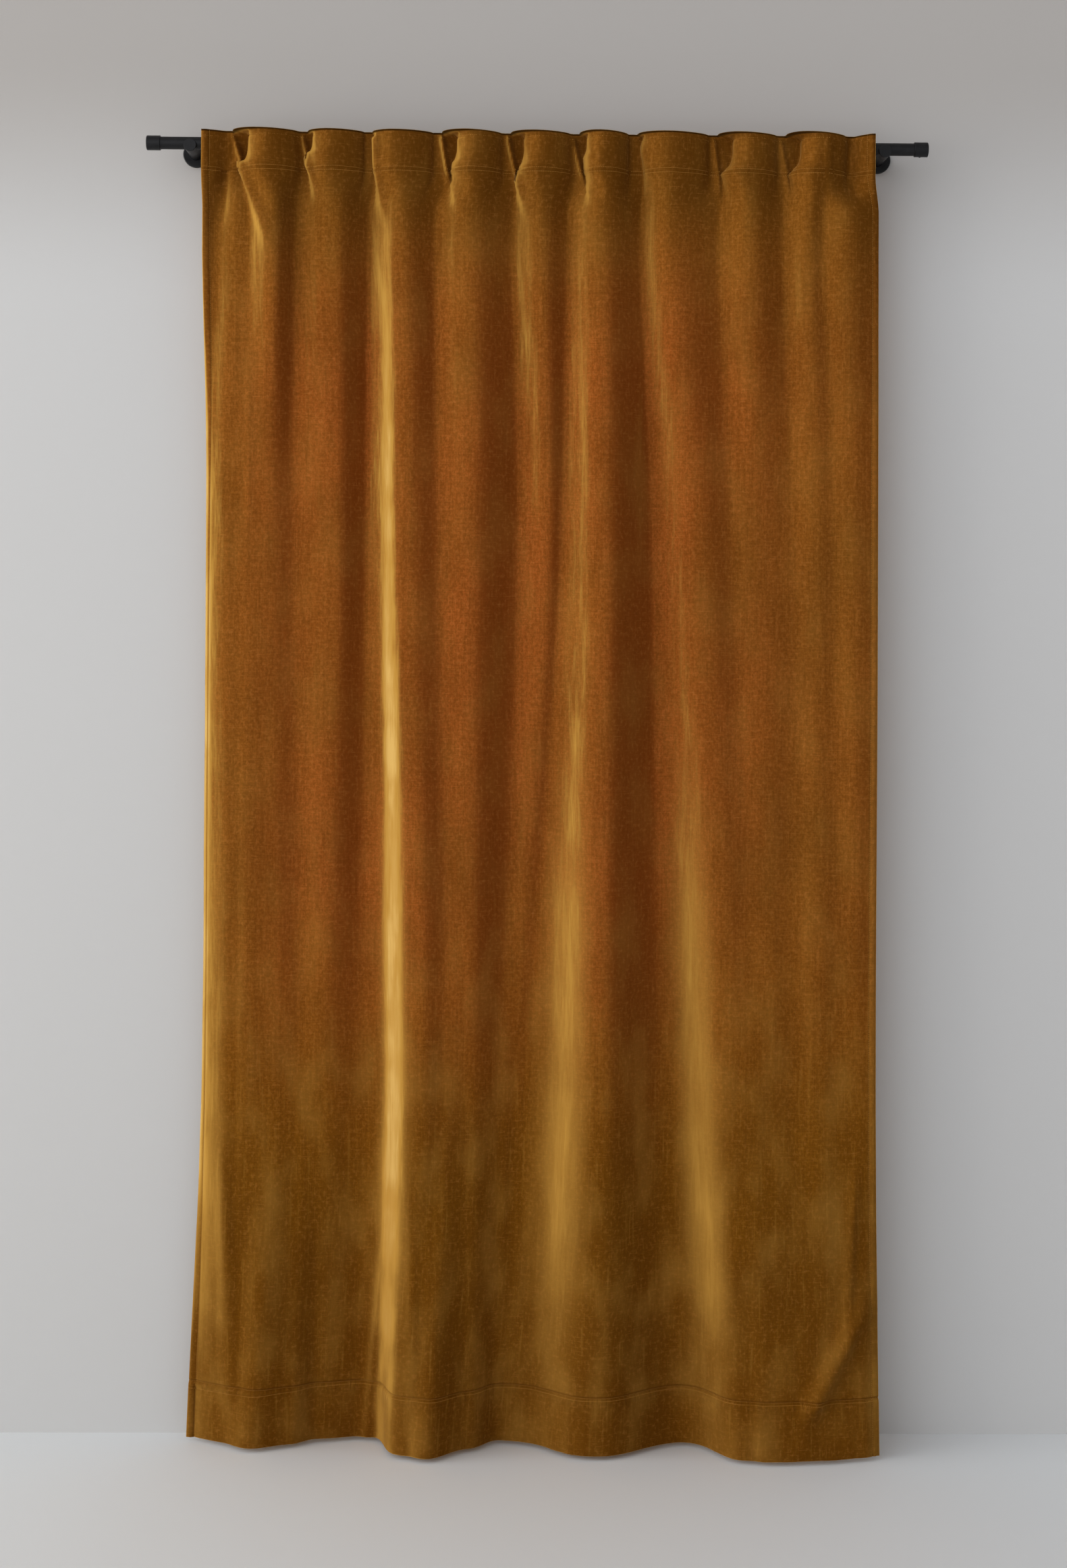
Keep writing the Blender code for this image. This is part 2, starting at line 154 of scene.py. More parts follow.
#   fold            bow  core   x_top   d_top    x_upper d_upper   x_lower d_lower   x_hem   d_hem
FOLDS = (
    ("left_edge",    0.0, 1.0,  -0.637,  0.016,  -0.631, -0.023,  -0.634, -0.034,  -0.660, -0.040),
    ("edge_foot",    0.0, 1.0,  -0.612,  0.008,  -0.622, -0.011,  -0.625, -0.020,  -0.614, -0.026),
    ("edge_ridge",   0.9, 1.0,  -0.554,  0.027,  -0.575,  0.004,  -0.573, -0.001,  -0.578, -0.008),
    ("foot_1",       0.0, 1.0,  -0.546,  0.028,  -0.539,  0.009,  -0.540,  0.003,  -0.572, -0.006),
    ("ridge_1",      0.6, 1.0,  -0.492,  0.053,  -0.505,  0.011,  -0.490,  0.000,  -0.531,  0.022),
    ("foot_2",       0.0, 1.0,  -0.464,  0.016,  -0.462,  0.002,  -0.443, -0.006,  -0.454, -0.001),
    ("ridge_2",      0.2, 1.0,  -0.377,  0.040,  -0.374,  0.018,  -0.396, -0.004,  -0.410, -0.028),
    ("foot_3",       0.0, 1.0,  -0.323,  0.002,  -0.324, -0.010,  -0.322, -0.018,  -0.320, -0.043),
    ("ridge_3",     -0.1, 0.6,  -0.250,  0.044,  -0.237,  0.039,  -0.206,  0.044,  -0.237,  0.054),
    ("foot_4",       0.0, 1.0,  -0.196,  0.018,  -0.186,  0.026,  -0.162,  0.034,  -0.192,  0.070),
    ("ridge_4",      0.2, 1.0,  -0.124,  0.044,  -0.117,  0.040,  -0.117,  0.029,  -0.116,  0.020),
    ("foot_5",       0.0, 1.0,  -0.049,  0.008,  -0.032,  0.002,  -0.053,  0.004,  -0.063, -0.023),
    ("ridge_5",      0.0, 1.0,   0.012,  0.038,   0.029,  0.027,  -0.027, -0.001,  -0.053, -0.022),
    ("foot_6",       0.0, 1.0,   0.056,  0.012,   0.050,  0.015,  -0.007, -0.004,  -0.043, -0.020),
    ("ridge_6",      0.3, 1.0,   0.127,  0.046,   0.135,  0.057,   0.137,  0.058,   0.130,  0.057),
    ("foot_7",       0.0, 1.0,   0.196,  0.004,   0.221,  0.000,   0.250, -0.012,   0.294, -0.014),
    ("ridge_7",      0.2, 1.0,   0.249,  0.038,   0.307,  0.039,   0.380,  0.046,   0.414,  0.076),
    ("foot_8",       0.0, 1.0,   0.345,  0.012,   0.368,  0.027,   0.420,  0.043,   0.440,  0.084),
    ("ridge_8",      0.0, 1.0,   0.406,  0.040,   0.417,  0.033,   0.447,  0.041,   0.471,  0.083),
    ("foot_9",       0.0, 1.0,   0.467,  0.014,   0.487,  0.025,   0.500,  0.037,   0.518,  0.078),
    ("ridge_9",      0.0, 1.0,   0.519,  0.042,   0.535,  0.034,   0.544,  0.041,   0.557,  0.072),
    ("foot_10",      0.0, 1.0,   0.539,  0.034,   0.563,  0.029,   0.582,  0.037,   0.590,  0.067),
    ("ridge_10",     0.0, 1.0,   0.585,  0.048,   0.602,  0.035,   0.617,  0.036,   0.629,  0.062),
    ("right_edge",   0.0, 1.0,   0.649,  0.024,   0.651,  0.027,   0.652,  0.032,   0.660,  0.048),
)


def curve_slopes(at, values):
    """Slopes of a curve through the values that adds no bump between them."""
    step = np.diff(at)
    rise = np.diff(values, axis=0) / step[:, None]
    slopes = np.zeros_like(values)
    slopes[0], slopes[-1] = rise[0], rise[-1]
    before, after = step[:-1, None], step[1:, None]
    weight_a, weight_b = 2 * after + before, after + 2 * before
    same_way = rise[:-1] * rise[1:] > 0
    safe_a = np.where(same_way, rise[:-1], 1)
    safe_b = np.where(same_way, rise[1:], 1)
    mean = (weight_a + weight_b) / (weight_a / safe_a + weight_b / safe_b)
    slopes[1:-1] = np.where(same_way, mean, 0)
    return slopes


def smooth_curve(at, values, where):
    """Points of the smooth curve through values, given at the places at."""
    at, where = np.asarray(at, float), np.asarray(where, float)
    slopes = curve_slopes(at, values)
    span = np.clip(np.searchsorted(at, where, side="right") - 1, 0, len(at) - 2)
    step = (at[span + 1] - at[span])[:, None]
    t = (where - at[span])[:, None] / step
    start = values[span] * (1 + 2 * t) * (1 - t) ** 2 + slopes[span] * step * t * (1 - t) ** 2
    end = values[span + 1] * t**2 * (3 - 2 * t) + slopes[span + 1] * step * t**2 * (t - 1)
    return start + end


def ease(t):
    t = np.clip(t, 0, 1)
    return t * t * (3 - 2 * t)


def arch_springs(drop):
    """Where the arches spring from the rod at this drop, by the pinch's place."""
    places = {}
    for (_, pinch, _), (_, _, rim, tip, reach, seam, low) in zip(PINCHES[1:-1], POCKETS):
        if drop < reach:
            spring = tip + (rim - tip) * math.sqrt(1 - (drop / reach) ** 2)
        else:
            spring = np.interp(drop, (reach, HEADING, SPRINGS_LOW), (tip, seam, low))
        top = pinch + HELD_FLAT
        places[pinch] = top + (spring - top) * ease((drop - POCKET_START) / POCKET_OPENS)
    return places


def heading_section(drop):
    """Points (x, d) along the pinched heading, close together, left to right."""
    points, springs = [], arch_springs(drop)
    fullness = ARCH_FULLNESS + ARCH_SLACK * ease((drop - HEADING) / (SPRINGS_LOW - HEADING))
    for (_, start, arch), (_, end, _) in zip(PINCHES, PINCHES[1:]):
        first, last = start == PINCHES[0][1], end == PINCHES[-1][1]
        low = start if first else springs[start]
        high = end if last else end - HELD_FLAT
        points.append((start, arch if first else HELD))
        for t in np.linspace(0, 1, 2 * SECTION_STEPS):
            if first:
                rise = math.cos(t * math.pi / 2)
            elif last:
                rise = math.sin(t * math.pi / 2)
            else:
                rise = math.sin(t**ARCH_LEAN * math.pi) ** fullness
            points.append((low + (high - low) * t, HELD + (arch - HELD) * rise))
    return np.array(points)


def body_section(drop):
    """Points (x, d) along the cloth at one level below the heading.

    Near the top each fold is an arch that springs from its foot, as the heading's arches
    do. Lower down the cloth runs into the hollow and out of it in an even curve.
    """
    rows = np.array([row[3:] for row in FOLDS])
    bends = [row[1:3] for row in FOLDS[1:]]
    at = [min(max(drop, FOLD_LEVELS[0]), FOLD_LEVELS[-1])]
    values = rows.reshape(len(FOLDS), -1, 2).transpose(1, 0, 2).reshape(len(FOLD_LEVELS), -1)
    lines = smooth_curve(FOLD_LEVELS, values, at).reshape(-1, 2)
    arched = ARCHED * (1 - ease((drop - FOLD_LEVELS[0]) / (FOLD_LEVELS[2] - FOLD_LEVELS[0])))
    t = np.linspace(0, 1, SECTION_STEPS, endpoint=False)
    out, hollow = np.sin(t * math.pi / 2), 1 - np.cos(t * math.pi / 2)
    points = []
    for (x, d), (next_x, next_d), (bow, core) in zip(lines, lines[1:], bends):
        steep = ease(ease((t - 0.5) / core + 0.5))
        even = steep + SHOULDER * (1 - core) * (ease(t) - steep) if next_d > d else ease(t)
        rise = even + arched * ((out if next_d > d else hollow) - even)
        rise += (1 - arched) * abs(bow) * ((out if bow > 0 else hollow) - even)
        points.append(np.stack([x + (next_x - x) * t, d + (next_d - d) * rise], axis=1))
    return rounded(np.concatenate(points + [lines[-1:]]))


def rounded(points):
    """The section with its tight hollows eased to a bend that the cloth can take."""
    spaced = at_shares(points, np.linspace(0, 1, ROUNDING_POINTS))
    reach = 3 * ROUNDING
    weights = np.exp(-0.5 * (np.arange(-reach, reach + 1) / ROUNDING) ** 2)
    weights /= weights.sum()
    soft = np.empty_like(spaced)
    for i in (0, 1):
        before = 2 * spaced[0, i] - spaced[reach:0:-1, i]
        after = 2 * spaced[-1, i] - spaced[-2 : -reach - 2 : -1, i]
        whole = np.concatenate([before, spaced[:, i], after])
        soft[:, i] = np.convolve(whole, weights, "valid")
    return soft


def lengths_along(points):
    steps = np.linalg.norm(np.diff(points, axis=0), axis=1)
    return np.concatenate([[0], np.cumsum(steps)])


def at_shares(points, shares):
    """The points at these shares of the section's length: the same threads at each level."""
    lengths = lengths_along(points)
    where = np.asarray(shares) * lengths[-1]
    return np.stack([np.interp(where, lengths, points[:, i]) for i in (0, 1)], axis=1)


heading_line = heading_section(HEADING)
FLAT_WIDTH = lengths_along(heading_line)[-1]
pinch_places = np.interp(
    [row[1] for row in PINCHES[1:-1]], heading_line[:, 0], lengths_along(heading_line)
)


def hung_place(across, down):
    """World places of the flat cloth's points, given across and down from its top corner."""
    places = np.zeros((len(across), 3))
    levels, level_of = np.unique(np.round(down, 6), return_inverse=True)
    for i, drop in enumerate(levels):
        here = np.nonzero(level_of == i)[0]
        shares = across[here] / FLAT_WIDTH
        section = at_shares(heading_section(min(drop, SPRINGS_LOW)), shares)
        if drop > HEADING:
            freed = ease((drop - HEADING) / (FREE_FROM - HEADING))
            section += freed * (at_shares(body_section(drop), shares) - section)
        x, d = section.T
        lift = CREST_LIFT * np.clip((d - HELD) / CREST_DEPTH, 0, 1) * (drop < HEADING)
        places[here] = np.stack([x, -ROD_FROM_WALL - d, TOP_ABOVE_ARM - drop + lift], axis=1)
    return places


# The panel's sewing. Two stitch rows hold the heading, two the bottom hem, one each side
# hem and one the top edge. They draw the pile in, pucker it, and leave the turned cloth
# standing a little proud.
SEAM_DIP = 0.0012
SEAM_WIDTH = 0.0017
TURNED_RISE = 0.0014
TURNED_EASE = 0.004
SIDE_RISE = 0.35
SIDE_EASE = 0.005
SIDE_BULGE = 0.0012
HEADING_ROWS = (0.0705, 0.0765)
TOP_ROW = 0.012
HEM_ROW = DROP - BOTTOM_HEM
LOWER_ROW = 0.013
LOWER_ROW_RISES = 0.0085
LOWER_ROW_EASE = (0.06, 0.30)
POCKET_DIP = 0.003
EDGE_ROUND = 0.0025
EDGE_DROP = 0.55

# The bottom hem's ends: a narrow turned strip stands proud at the left, beside a hollow,
# and a slanting seam is drawn in at the right.
HEM_END = 0.0135
HEM_END_START = 0.012
HEM_END_RISE = 0.0016
HEM_END_EASE = 0.003
LEFT_HOLLOW = (0.0014, 0.0020)
RIGHT_SEAM = (0.0022, 0.0016)
RIGHT_SLANT = 0.0065

# Small creases run down from the pinches, most of them rolls, and the first a hollow. One
# row for each: its place along the rod at the top edge, at the heading seam and at its end,
# how far down it reaches, its height and width. It starts below the top edge, stands at its
# full height for the first share of its reach, and widens below the heading.
CREASE_START = 0.002
CREASE_RISES = 0.014
CREASE_FULL = 0.35
CREASE_WIDENS = 1.2
WIDENS_OVER = 0.1
#    crease        x_top   x_seam    x_end   reach    height    width
CREASES = (
    ("end_fold",  -0.577,  -0.594,  -0.612,  0.230,  -0.0080,  0.0080),
    ("pinch_1",   -0.583,  -0.556,  -0.492,  0.260,   0.0115,  0.0048),
    ("pinch_2",   -0.450,  -0.430,  -0.414,  0.150,   0.0088,  0.0040),
    ("pinch_3",   -0.306,  -0.303,  -0.284,  0.200,   0.0090,  0.0044),
    ("pinch_4",   -0.185,  -0.172,  -0.132,  0.180,   0.0125,  0.0044),
    ("pinch_5",   -0.060,  -0.043,  -0.010,  0.180,   0.0120,  0.0044),
    ("pinch_6",    0.062,   0.082,   0.126,  0.170,   0.0115,  0.0044),
    ("pinch_7",    0.198,   0.203,   0.203,  0.070,   0.0048,  0.0036),
    ("pinch_8",    0.332,   0.343,   0.351,  0.150,   0.0066,  0.0044),
    ("pinch_9",    0.458,   0.474,   0.486,  0.150,   0.0058,  0.0058),
    ("rim_1",     -0.542,  -0.548,  -0.552,  0.055,   0.0030,  0.0038),
    ("rim_2",     -0.423,  -0.421,  -0.419,  0.040,   0.0030,  0.0038),
    ("rim_4",     -0.150,  -0.150,  -0.132,  0.050,   0.0030,  0.0038),
    ("rim_5",     -0.025,  -0.019,  -0.010,  0.050,   0.0030,  0.0038),
    ("rim_6",      0.095,   0.102,   0.111,  0.050,   0.0030,  0.0038),
    ("roll_6",     0.145,   0.145,   0.154,  0.090,   0.0020,  0.0038),
    ("rim_8",      0.373,   0.374,   0.377,  0.050,   0.0030,  0.0038),
    ("roll_8",     0.425,   0.428,   0.435,  0.090,   0.0020,  0.0038),
    ("rim_9",      0.503,   0.504,   0.507,  0.060,   0.0034,  0.0038),
    ("roll_9",     0.547,   0.550,   0.563,  0.150,   0.0048,  0.0038),
    ("roll_10",    0.582,   0.589,   0.594,  0.060,   0.0018,  0.0038),
    ("end_roll",   0.614,   0.609,   0.602,  0.090,   0.0016,  0.0038),
)

# Wrinkles further down, where the cloth has been folded or caught: their places at two
# drops, their height and width. One that ends above the bottom edge swells and fades
# between its ends, and any other starts softly and runs out over the hem.
RUNS_OUT = 2.46
WRINKLE_SWELLS = 2.2
WRINKLE_STARTS = 3
#   wrinkle          x_a  drop_a     x_b  drop_b   height   width
WRINKLES = (
    ("hem_roll_b",   -0.234, 1.900,  -0.216, 2.514,  0.0020, 0.011),
    ("right_slant",   0.614, 1.950,   0.592, 2.330,  0.0046, 0.010),
    ("right_swell",   0.640, 2.200,   0.514, 2.436,  0.0175, 0.019),
    ("right_low",     0.539, 2.398,   0.488, 2.514,  0.0015, 0.014),
    ("hem_fold",      0.470, 2.440,   0.590, 2.514,  0.0045, 0.030),
    ("bend_a",        0.274, 1.310,   0.315, 1.419,  0.0018, 0.012),
    ("bend_b",        0.300, 1.600,   0.346, 1.716,  0.0018, 0.012),
    ("bend_c",       -0.299, 0.833,  -0.258, 0.904,  0.0016, 0.010),
    ("corner_roll",  -0.594, 1.880,  -0.562, 2.514,  0.0064, 0.018),
    ("corner_slant", -0.616, 1.820,  -0.610, 2.514,  0.0030, 0.014),
    ("hem_roll_d",   -0.278, 2.100,  -0.314, 2.514,  0.0052, 0.013),
    ("middle_low",    0.008, 2.295,   0.044, 2.501,  0.0020, 0.012),
    ("middle_lower",  0.080, 2.372,   0.072, 2.514,  0.0016, 0.009),
    ("upper_left",   -0.540, 0.363,  -0.547, 0.775,  0.0015, 0.009),
    ("upper_mid",    -0.035, 0.363,  -0.010, 0.904,  0.0015, 0.014),
)


def hump(distance, width):
    return np.exp(-((distance / width) ** 2))


def second_hem_row(across):
    """The bottom hem's lower stitch row runs wide at the left corner and closes up."""
    start, reach = LOWER_ROW_EASE
    return HEM_ROW + LOWER_ROW - LOWER_ROW_RISES * ease((across - start) / reach)


def in_pocket(down, x):
    """How far inside the pockets beside the pinches the cloth lies, 0 to 1."""
    inside = np.zeros_like(x)
    wall, thickness = POCKET_RIGHT_WALL
    opened = ease((down - POCKET_START) / POCKET_DEEPENS)
    for _, left, rim, tip, reach, _, _ in POCKETS:
        t = np.clip(down / reach, 0, 1)
        left_side = tip + (left - tip) * (1 - t)
        right_side = tip + (rim - tip) * np.sqrt(1 - t**2)
        u = (x - left_side) / np.maximum(right_side - left_side, POCKET_THIN)
        here = ease(u / POCKET_LEFT_WALL) * (1 - ease((u - wall) / thickness)) * opened
        inside = np.maximum(inside, here * (1 - t**4))
    return inside


def relief(across, down, x):
    """How far the sewing, creases and wear lift the velvet off its smooth hang."""
    edge = np.minimum(across, FLAT_WIDTH - across)
    rise = TURNED_RISE * (1 - ease((down - HEADING_ROWS[1]) / TURNED_EASE))
    rise += TURNED_RISE * ease((down - HEM_ROW) / TURNED_EASE)
    rise += TURNED_RISE * SIDE_RISE * (1 - ease((edge - SIDE_HEM) / SIDE_EASE))
    # Distance from each seam, with its depth and width as shares of the usual seam's
    for away, depth, breadth in (
        (down - HEADING_ROWS[0], 1.0, 1.0),
        (down - HEADING_ROWS[1], 1.0, 1.0),
        (down - TOP_ROW, 0.5, 1.0),
        (down - HEM_ROW, 2.0, 1.3),
        (down - second_hem_row(across), 0.7, 1.0),
        (edge - SIDE_HEM, 0.6, 1.0),
    ):
        rise -= depth * SEAM_DIP * hump(away, breadth * SEAM_WIDTH)
    rise += SIDE_BULGE * np.sin(np.clip(edge / SIDE_HEM, 0, 1) * math.pi)
    rise -= POCKET_DIP * in_pocket(down, x)
    for _, top, seam, end, reach, height, width in CREASES:
        path = np.interp(down, (0, HEADING, max(reach, HEADING + 0.001)), (top, seam, end))
        fades = ease((down - reach * CREASE_FULL) / (reach * (1 - CREASE_FULL)))
        shown = ease((down - CREASE_START) / CREASE_RISES) * (1 - fades)
        wider = width * (1 + CREASE_WIDENS * np.clip((down - HEADING) / WIDENS_OVER, 0, 1))
        rise += height * shown * hump(x - path, wider)
    for _, x_a, drop_a, x_b, drop_b, height, width in WRINKLES:
        path = x_a + (x_b - x_a) * (down - drop_a) / (drop_b - drop_a)
        along = np.clip((down - drop_a) / (drop_b - drop_a), 0, 1)
        if drop_b < RUNS_OUT:
            shown = np.minimum(1, WRINKLE_SWELLS * np.sin(along * math.pi))
        else:
            shown = ease(along * WRINKLE_STARTS)
        rise += height * shown * hump(x - path, width)
    corner = ease((down - HEM_ROW) / HEM_END_START)
    rise += HEM_END_RISE * corner * (1 - ease((across - HEM_END) / HEM_END_EASE))
    right_seam = FLAT_WIDTH - HEM_END + RIGHT_SLANT * ease((down - HEM_ROW) / BOTTOM_HEM)
    for place, (dip, width) in ((SIDE_HEM, LEFT_HOLLOW), (right_seam, RIGHT_SEAM)):
        rise -= dip * corner * hump(across - place, width)
    nearest = np.minimum(edge, np.minimum(down, DROP - down))
    inside = np.clip(1 - nearest / EDGE_ROUND, 0, 1)
    return rise - EDGE_ROUND * EDGE_DROP * (1 - np.sqrt(1 - inside**2))


#    unevenness  across  down  layer  height
UNEVENNESS = (
    ("broad",         9,  2.2,   3.1, 0.0016),
    ("fine",         34,  9.0,   7.7, 0.0005),
)


def wrinkle(across, down):
    """Soft unevenness of cloth that has hung for a while."""
    return np.array([
        sum(
            height * noise.noise(Vector((u * times_u, v * times_v, layer)))
            for _, times_u, times_v, layer, height in UNEVENNESS
        )
        for u, v in zip(across, down)
    ])


# The model's threads. One step divides each stretch of the cloth: the lengthwise threads
# lie close at the side hems and beside the pinches, and closer in the main fold, and the
# crosswise threads lie close at the edges and the stitch rows.
EDGE_STEP = 0.0015
HEM_STEP = 0.0045
SEAM_STEP = 0.001
OPEN_STEP = 0.0080
FOLD_STEP = 0.0037
PINCH_STEP = 0.0031
LAST_STEP = 0.0064
MAIN_FOLD = (0.335, 0.63)
BEFORE_PINCH = 0.004
PAST_POCKET = 0.021
#    down_to    step
CROSSWISE = (
    (0.0025, 0.00125),
    (0.067,  0.0040),
    (0.081,  0.0015),
    (0.26,   0.0105),
    (0.80,   0.025),
    (1.90,   0.041),
    (2.25,   0.023),
    (2.386,  0.0125),
    (2.409,  0.0019),
    (2.4975, 0.0105),
    (DROP,   0.00125),
)


def spread(start, *stretches):
    """Places from start on, each stretch (end, step) divided evenly."""
    places = [start]
    for end, step in stretches:
        count = max(1, round((end - places[-1]) / step))
        places.extend(np.linspace(places[-1], end, count + 1)[1:])
    return np.array(places)


def thread_places():
    """Lengthwise threads of the model, from the left edge."""
    stretches = [
        (EDGE_STEP, EDGE_STEP), (SIDE_HEM - SEAM_STEP, HEM_STEP), (SIDE_HEM + SEAM_STEP, SEAM_STEP)
    ]
    for place, (_, pinch, _), (_, _, rim, *_) in zip(pinch_places, PINCHES[1:-1], POCKETS):
        close = MAIN_FOLD[0] < place < MAIN_FOLD[1]
        stretches.append((place - BEFORE_PINCH, FOLD_STEP if close else OPEN_STEP))
        stretches.append((place + rim - pinch + PAST_POCKET, PINCH_STEP))
    inner = FLAT_WIDTH - SIDE_HEM
    stretches += [(inner - SEAM_STEP, LAST_STEP), (inner + SEAM_STEP, SEAM_STEP)]
    stretches += [(FLAT_WIDTH - EDGE_STEP, HEM_STEP), (FLAT_WIDTH, EDGE_STEP)]
    return spread(0.0, *stretches)


threads, crossings = thread_places(), spread(0.0, *CROSSWISE)
panel = bmesh.new()
bmesh.ops.create_grid(
    panel, x_segments=len(threads) - 1, y_segments=len(crossings) - 1, size=0.5
)
panel.verts.ensure_lookup_table()
for corner in panel.verts:
    i = round((corner.co.x + 0.5) * (len(threads) - 1))
    j = round((0.5 - corner.co.y) * (len(crossings) - 1))
    corner.co = (threads[i], -crossings[j], 0)
weave_map = panel.loops.layers.uv.new("weave")
for face in panel.faces:
    for loop in face.loops:
        loop[weave_map].uv = (loop.vert.co.x, -loop.vert.co.y)
    middle = face.calc_center_median()
    turned = (
        -middle.y < HEADING
        or -middle.y > HEM_ROW
        or min(middle.x, FLAT_WIDTH - middle.x) < SIDE_HEM
    )
    face.material_index = 2 if turned else 0
    face.smooth = True
panel.verts.index_update()
flat = np.array([v.co for v in panel.verts])
across, down = flat[:, 0], -flat[:, 1]
hung = hung_place(across, down)
for corner, place in zip(panel.verts, hung):
    corner.co = place
panel.normal_update()
if sum(face.normal.y for face in panel.faces) > 0:
    bmesh.ops.reverse_faces(panel, faces=panel.faces)
    panel.normal_update()
lifted = relief(across, down, hung[:, 0]) + wrinkle(across, down)
over_rod = -ROD_FROM_WALL - hung[:, 1] - HELD
lifted = np.where(down < HEADING, np.maximum(lifted, -over_rod), lifted)
for corner, lift in zip(panel.verts, lifted):
    corner.co += corner.normal * float(lift)
doubled = [
    i for i in range(len(flat))
    if down[i] < HEADING or down[i] > HEM_ROW
    or min(across[i], FLAT_WIDTH - across[i]) < SIDE_HEM
]
panel_mesh = bpy.data.meshes.new("velvet_panel")
panel.to_mesh(panel_mesh)
panel.free()

# Painted shade: the pile is darkened in the pockets and in the first crease's hollow, where shade
# falls.
HOLLOW_SHADE_SHARE = 0.75
HOLLOW_WIDTH = 0.010
HOLLOW_STARTS = 0.02
HOLLOW_ENDS = (0.14, 0.10)

_, top, seam, end, reach, _, _ = CREASES[0]
end_hollow = hung[:, 0] - np.interp(down, (0.0, HEADING, reach), (top, seam, end))
full_to, fades_in = HOLLOW_ENDS
shown = ease(down / HOLLOW_STARTS) * (1 - ease((down - full_to) / fades_in))
shade_in_hollows = np.maximum(
    in_pocket(down, hung[:, 0]), HOLLOW_SHADE_SHARE * hump(end_hollow, HOLLOW_WIDTH) * shown
)
panel_mesh.attributes.new("shade_in_hollows", "FLOAT", "POINT").data.foreach_set("value", shade_in_hollows)
velvet_panel = bpy.data.objects.new("velvet_panel", panel_mesh)
scene.collection.objects.link(velvet_panel)
velvet_panel.vertex_groups.new(name="hems").add(doubled, 1, "REPLACE")
solid = velvet_panel.modifiers.new("thickness", "SOLIDIFY")
solid.thickness = HEM_CLOTH
solid.offset = -1
solid.vertex_group = "hems"
solid.thickness_vertex_group = CLOTH / HEM_CLOTH
solid.material_offset = 1
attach(velvet_panel, "root")
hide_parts("drape")


# The stitching: rows of short lockstitches in matching thread, two at the heading, two at
# the bottom hem and one along each other edge. Each stitch lies in the dip that it pulls.
STITCH_PITCH = 0.0034
STITCH_SIZE = (0.0027, 0.0011, 0.0009)
ROW_END = 0.004
FRAME_STEP = 0.0008


def cloth_frame(across, down):
    """Places on the velvet's face, with the ways across, down and out of it there."""
    here = hung_place(across, down)
    sideways = hung_place(across + FRAME_STEP, down) - here
    downward = hung_place(across, down + FRAME_STEP) - here
    sideways /= np.linalg.norm(sideways, axis=1)[:, None]
    outward = np.cross(downward, sideways)
    outward /= np.linalg.norm(outward, axis=1)[:, None]
    outward *= np.where(outward[:, 1:2] > 0, -1, 1)
    lift = relief(across, down, here[:, 0]) + wrinkle(across, down)
    return here + outward * lift[:, None], sideways, np.cross(outward, sideways), outward


along_width = np.arange(ROW_END, FLAT_WIDTH - ROW_END, STITCH_PITCH)
along_drop = np.arange(ROW_END, DROP - ROW_END, STITCH_PITCH)
cross_rows = [np.full_like(along_width, row) for row in (TOP_ROW, *HEADING_ROWS, HEM_ROW)]
cross_rows.append(second_hem_row(along_width))
stitch_spots = [(along_width, row, True) for row in cross_rows]
stitch_spots += [
    (np.full_like(along_drop, side), along_drop, False)
    for side in (SIDE_HEM, FLAT_WIDTH - SIDE_HEM)
]
one_stitch = bmesh.new()
bmesh.ops.create_icosphere(one_stitch, subdivisions=1, radius=0.5)
stitch_form = np.array([v.co for v in one_stitch.verts]) * STITCH_SIZE
stitch_mesh = bpy.data.meshes.new("stitching")
one_stitch.to_mesh(stitch_mesh)
one_stitch.free()
stitches, stitch_places = bmesh.new(), []
for spots_across, spots_down, crosswise in stitch_spots:
    middle, sideways, downward, outward = cloth_frame(spots_across, spots_down)
    along, beside = (sideways, downward) if crosswise else (downward, sideways)
    for i in range(len(middle)):
        stitches.from_mesh(stitch_mesh)
        stitch_places.append(middle[i] + stitch_form @ np.array([along[i], beside[i], outward[i]]))
for corner, place in zip(stitches.verts, np.concatenate(stitch_places)):
    corner.co = place
bmesh.ops.recalc_face_normals(stitches, faces=stitches.faces)
for face in stitches.faces:
    face.smooth = True
stitches.to_mesh(stitch_mesh)
stitches.free()
stitching = bpy.data.objects.new("stitching", stitch_mesh)
scene.collection.objects.link(stitching)
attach(stitching, "root")


# The velvet: a short cotton pile on a plain ground, dyed ochre. The pile lies in long streaks and
# cloudy patches where it has been brushed. A painted sheen, a gold highlight, is painted into its
# colour where it is seen on edge. Painted shade darkens the sides turned from the light, the
# hollows, the heading and the bottom.
def new_material(name):
    material = bpy.data.materials.new(name)
    material.use_nodes = True
    tree = material.node_tree
    return material, tree, tree.nodes["Principled BSDF"]


def add_node(tree, kind, **settings):
    node = tree.nodes.new(kind)
    for key, value in settings.items():
        if key in node.inputs:
            node.inputs[key].default_value = value
        else:
            setattr(node, key, value)
    return node


def feed(tree, socket, value):
    """Give a socket its value: another node's output, a colour or a number."""
    if hasattr(value, "links"):
        tree.links.new(value, socket)
    else:
        socket.default_value = (*value, 1) if socket.type == "RGBA" else value


def axes_of(tree, vector):
    """The X, Y and Z outputs of a vector."""
    split = tree.nodes.new("ShaderNodeSeparateXYZ")
    tree.links.new(vector, split.inputs["Vector"])
    return split.outputs


def noise_on(tree, place, stretch, detail, rough):
    """Noise whose grains are 1 / stretch metres across and down the cloth."""
    mapping = add_node(tree, "ShaderNodeMapping", Scale=(*stretch, 1))
    tree.links.new(place, mapping.inputs["Vector"])
    grain = add_node(tree, "ShaderNodeTexNoise", Scale=1, Detail=detail, Roughness=rough)
    tree.links.new(mapping.outputs["Vector"], grain.inputs["Vector"])
    return grain.outputs["Fac"]


